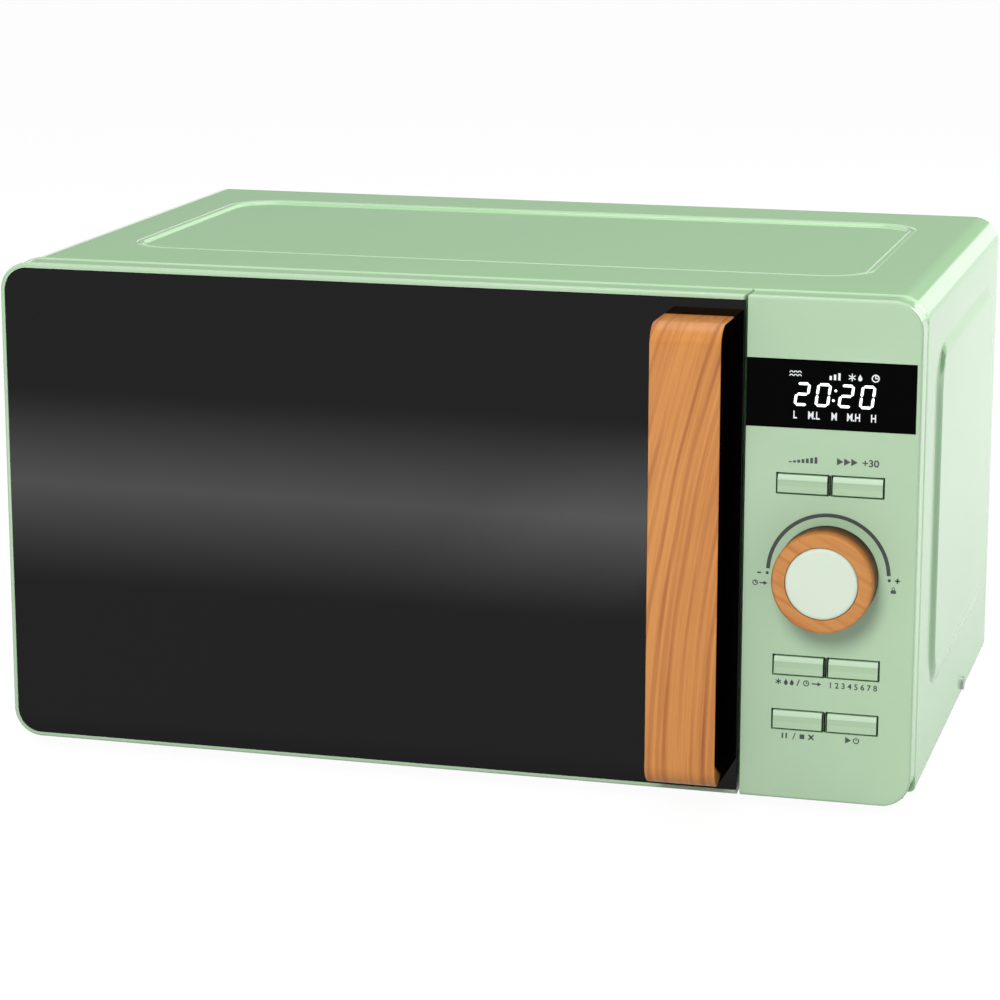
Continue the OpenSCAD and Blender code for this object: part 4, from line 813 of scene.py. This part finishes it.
class Marks:
    """Flat marks drawn on the front, gathered in one bmesh; places in millimetres."""

    def __init__(self):
        self.shape = bmesh.new()
        self.y = front_y - 0.01 * MM

    def stand(self, made, x, z, turn=0.0, lean=0.0):
        """Turns flat points by degrees, leans them to the right and stands them up at their place."""
        shear = Matrix.Identity(4)
        shear[0][1] = lean
        upright = Matrix.Rotation(math.radians(90), 4, "X")
        place = Matrix.Translation((x * MM, self.y, z * MM))
        bmesh.ops.transform(self.shape, verts=made,
                            matrix=place @ upright @ shear @ Matrix.Rotation(math.radians(turn), 4, "Z"))

    def patch(self, x, z, width, height, turn=0.0, lean=0.0, cut=0.0):
        """A bar with cut corners."""
        made = bmesh.ops.create_grid(self.shape, x_segments=1, y_segments=1, size=0.5)["verts"]
        bmesh.ops.scale(self.shape, vec=(width * MM, height * MM, 1), verts=made)
        if cut:
            before = set(self.shape.verts) - set(made)
            bevel(self.shape, made, cut * MM, 1, "VERTICES", True)
            made = [v for v in self.shape.verts if v not in before]
        self.stand(made, x, z, turn, lean)

    def disc(self, x, z, radius, segments=24, turn=0):
        made = bmesh.ops.create_circle(self.shape, cap_ends=True, segments=segments, radius=radius * MM)["verts"]
        self.stand(made, x, z, turn)

    def wedge(self, x, z, size, turn=0):
        self.disc(x, z, size, 3, turn)

    def ring(self, x, z, radius, width, steps, start=0, sweep=360):
        across, up = math.cos(math.radians(start)), math.sin(math.radians(start))
        ends = [self.shape.verts.new(((x + reach * across) * MM, self.y, (z + reach * up) * MM))
                for reach in (radius - width, radius)]
        bmesh.ops.spin(self.shape, geom=ends + [self.shape.edges.new(ends)], cent=(x * MM, self.y, z * MM),
                       axis=(0, -1, 0), dvec=(0, 0, 0), angle=math.radians(sweep), steps=steps,
                       use_merge=sweep == 360)

    def words(self, text, x, z, height, narrow=1.0):
        """Plain numbers or letters from the built-in typeface, whose capitals are 0.7 of its size."""
        curve = bpy.data.curves.new("mark", "FONT")
        curve.body = text
        curve.size = height * MM / 0.7
        curve.align_x = "CENTER"
        curve.offset = 0.022 * curve.size
        holder = bpy.data.objects.new("mark", curve)
        bpy.context.scene.collection.objects.link(holder)
        bpy.context.view_layer.update()
        mesh = bpy.data.meshes.new_from_object(holder)
        bpy.data.objects.remove(holder)
        before = set(self.shape.verts)
        self.shape.from_mesh(mesh)
        made = [v for v in self.shape.verts if v not in before]
        bmesh.ops.scale(self.shape, vec=(narrow, 1, 1), verts=made)
        self.stand(made, x, z - height / 2)

    def done(self, name, material):
        """Gives the marks their thickness and makes them a piece of the oven."""
        shape = self.shape
        bmesh.ops.remove_doubles(shape, verts=shape.verts, dist=1e-7)
        shape.normal_update()
        bmesh.ops.reverse_faces(shape, faces=[f for f in shape.faces if f.normal.y > 0])
        thick = bmesh.ops.extrude_face_region(shape, geom=list(shape.faces), use_keep_orig=True)["geom"]
        fresh = [v for v in thick if isinstance(v, bmesh.types.BMVert)]
        bmesh.ops.translate(shape, verts=fresh, vec=(0, -0.04 * MM, 0))
        bmesh.ops.recalc_face_normals(shape, faces=shape.faces)
        piece(name, shape, "oven", [material], (), 30, False)


def arrow(marks, x, z, length):
    marks.patch(x - 0.6, z, length - 1.2, 0.6)
    marks.wedge(x + length / 2 - 1.0, z, 1.2, -90)


def drop(marks, x, z, radius):
    marks.disc(x, z - radius * 0.45, radius * 0.75, 16)
    marks.wedge(x, z + radius * 0.35, radius * 0.85)


def clock(marks, x, z, radius):
    marks.ring(x, z, radius, 0.45, 24)
    marks.patch(x, z + radius * 0.3, 0.4, radius * 0.65)
    marks.patch(x + radius * 0.25, z, radius * 0.5, 0.4)


def snow(marks, x, z, radius):
    for turn in (0, 60, 120):
        marks.patch(x, z, 0.45, 2 * radius, turn)


def weight(marks, x, z):
    marks.patch(x, z - 0.5, 2.6, 1.7, 0, 0, 0.5)
    marks.ring(x, z + 0.9, 0.8, 0.3, 16)


def slash(marks, x, z):
    marks.patch(x, z, 0.5, 3.4, -20)


def middle_of(number):
    low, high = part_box("button_%d" % number)
    return (low + high) / 2 / MM


def draw_panel_marks():
    """The arc around the knob with its signs, and above or below each button a pictogram."""
    marks = Marks()
    x, z = knob_x / MM, knob_z / MM
    marks.ring(x, z, 29.2, 1.8, 64, 2.5, 175)
    marks.disc(x - 28.6, z - 0.9, 0.75)
    marks.disc(x + 28.6, z - 0.9, 0.75)
    marks.patch(x - 32.4, z - 1.0, 1.9, 0.7)
    marks.patch(x + 32.4, z - 0.9, 2.4, 0.7)
    marks.patch(x + 32.4, z - 0.9, 0.7, 2.4)
    clock(marks, x - 34.2, z - 5.9, 1.35)
    arrow(marks, x - 30.4, z - 5.9, 3.6)
    weight(marks, x + 30.6, z - 5.7)
    left, right = middle_of(1).x, middle_of(2).x
    rows = [middle_of(number).z for number in (1, 3, 5)]
    z = rows[0] + 11.6
    for step in range(7):
        marks.patch(left - 6 + step * 2.0, z - 1.4 + 0.2 * (step + 1), 1.35, 0.6 + 0.4 * step)
    for step in range(3):
        marks.wedge(right - 9.0 + step * 3.3, z, 2.0, -90)
    marks.words("+30", right + 5.6, z, 3.2, 1.1)
    z = rows[1] - 8.2
    snow(marks, left - 9.4, z, 1.5)
    drop(marks, left - 5.8, z, 1.25)
    drop(marks, left - 3.0, z, 1.25)
    slash(marks, left, z)
    clock(marks, left + 3.8, z, 1.45)
    arrow(marks, left + 8.6, z, 4.4)
    marks.words("1 2 3 4 5 6 7 8", right, z, 2.7)
    z = rows[2] - 7.9
    marks.patch(left - 6.9, z, 0.8, 2.6)
    marks.patch(left - 5.1, z, 0.8, 2.6)
    slash(marks, left - 1.4, z)
    marks.patch(left + 2.4, z, 2.3, 2.3, 0, 0, 0.2)
    marks.patch(left + 6.7, z, 0.7, 3.4, 45)
    marks.patch(left + 6.7, z, 0.7, 3.4, -45)
    marks.wedge(right - 2.0, z, 1.9, -90)
    marks.ring(right + 2.2, z, 1.5, 0.5, 20, 120, 300)
    marks.patch(right + 2.2, z + 0.9, 0.5, 1.6)
    marks.done("panel_print", ink)
    marks = Marks()
    # painted shade: a black strip over the web between each row's two buttons, so that it reads as a shaded gap
    for z in rows:
        marks.patch(x, z, 0.75, 9.6)
    marks.done("button_webs", display_glass)


def digit(marks, strokes, x, z):
    """A leaning digit of seven-stroke kind, from the letters of the strokes that are lit."""
    half_w, half_h, width, lean = 2.725, 4.9, 1.25, 0.125
    places = {"a": (0, half_h), "g": (0, 0), "d": (0, -half_h), "b": (half_w, half_h / 2),
              "c": (half_w, -half_h / 2), "e": (-half_w, -half_h / 2), "f": (-half_w, half_h / 2)}
    for key in strokes:
        across, up = places[key]
        size = (2 * half_w - width * 0.55, width) if key in "agd" else (width, half_h - width * 0.3)
        marks.patch(x + across + lean * up, z + up, *size, 0, lean, width * 0.42)


def draw_display():
    """The time in large digits, small pictograms above it and power letters below it."""
    middle_z = (window_low.z + window_high.z) / 2 / MM
    colon = 186.0
    two, nought = "abged", "abcdef"
    marks = Marks()
    for strokes, x in ((two, -15.0), (nought, -5.3), (two, 5.4), (nought, 15.2)):
        digit(marks, strokes, colon + x, middle_z)
    for z in (2.3, -2.3):
        marks.disc(colon + 0.22 * z, middle_z + z, 0.62, 16)
    marks.done("display_digits", lit_digits)
    marks = Marks()
    z = middle_z + 8.9
    for step in range(3):
        for up in (1.0, -0.6):
            marks.ring(colon - 20.2 + step * 1.9, z + up, 0.95, 0.4, 10, 0, 180)
    for step in range(3):
        marks.patch(colon - 2.0 + step * 2.0, z - 0.7 + 0.35 * step, 1.1, 1.9 + 0.7 * step)
    snow(marks, colon + 7.9, z, 1.8)
    drop(marks, colon + 11.6, z, 1.3)
    marks.ring(colon + 18.7, z, 1.85, 0.55, 28)
    marks.patch(colon + 18.7, z + 0.5, 0.5, 1.5)
    marks.patch(colon + 19.2, z, 1.2, 0.5)
    for text, x in (("L", -18.2), ("M.L", -9.5), ("M", 0.0), ("M.H", 9.0), ("H", 18.2)):
        marks.words(text, colon + x, middle_z - 9.7, 3.5, 0.74)
    marks.done("display_marks", dim_marks)


draw_panel_marks()
draw_display()


# ---------------------------------------------------------------- the other CAD pieces

FINISHES = (
    (zinc_sheet, "base_plate waveguide turntable_motor magnetron_frame capacitor_clamp upper_hinge lower_hinge "
                 "door_choke encoder"),
    (white_plastic, "turntable_coupler roller_ring lamp_holder latch_bracket latch_hook"),
    (grey_plastic, "roller_1 roller_2 roller_3 fan_shroud display_module"),
    (black_plastic, "diode fan_blade thermostats interlock_switches choke_cover"),
    (clear_glass, "glass_tray oven_lamp"),
    (copper, "magnetron_anode transformer_coils"),
    (aluminium, "magnetron_fins capacitor encoder_shaft"),
    (core_steel, "transformer_core fan_motor"),
    (spring_steel, "latch_spring handle_screws cabinet_screws"),
    (circuit_board, "filter_board control_board"),
    (rubber, "cord_gland feet"),
    (mint_paint, "rear_panel"), (cavity_enamel, "oven_cavity"), (mica, "waveguide_cover"),
    (ferrite, "magnetron_magnets"), (screen_steel, "door_screen"), (smoked_window, "inner_window"))
for material, names in FINISHES:
    for name in names.split():
        slots = nodes[name].data.materials
        slots.clear()
        slots.append(material)

bpy.context.scene.view_settings.view_transform = "Standard"
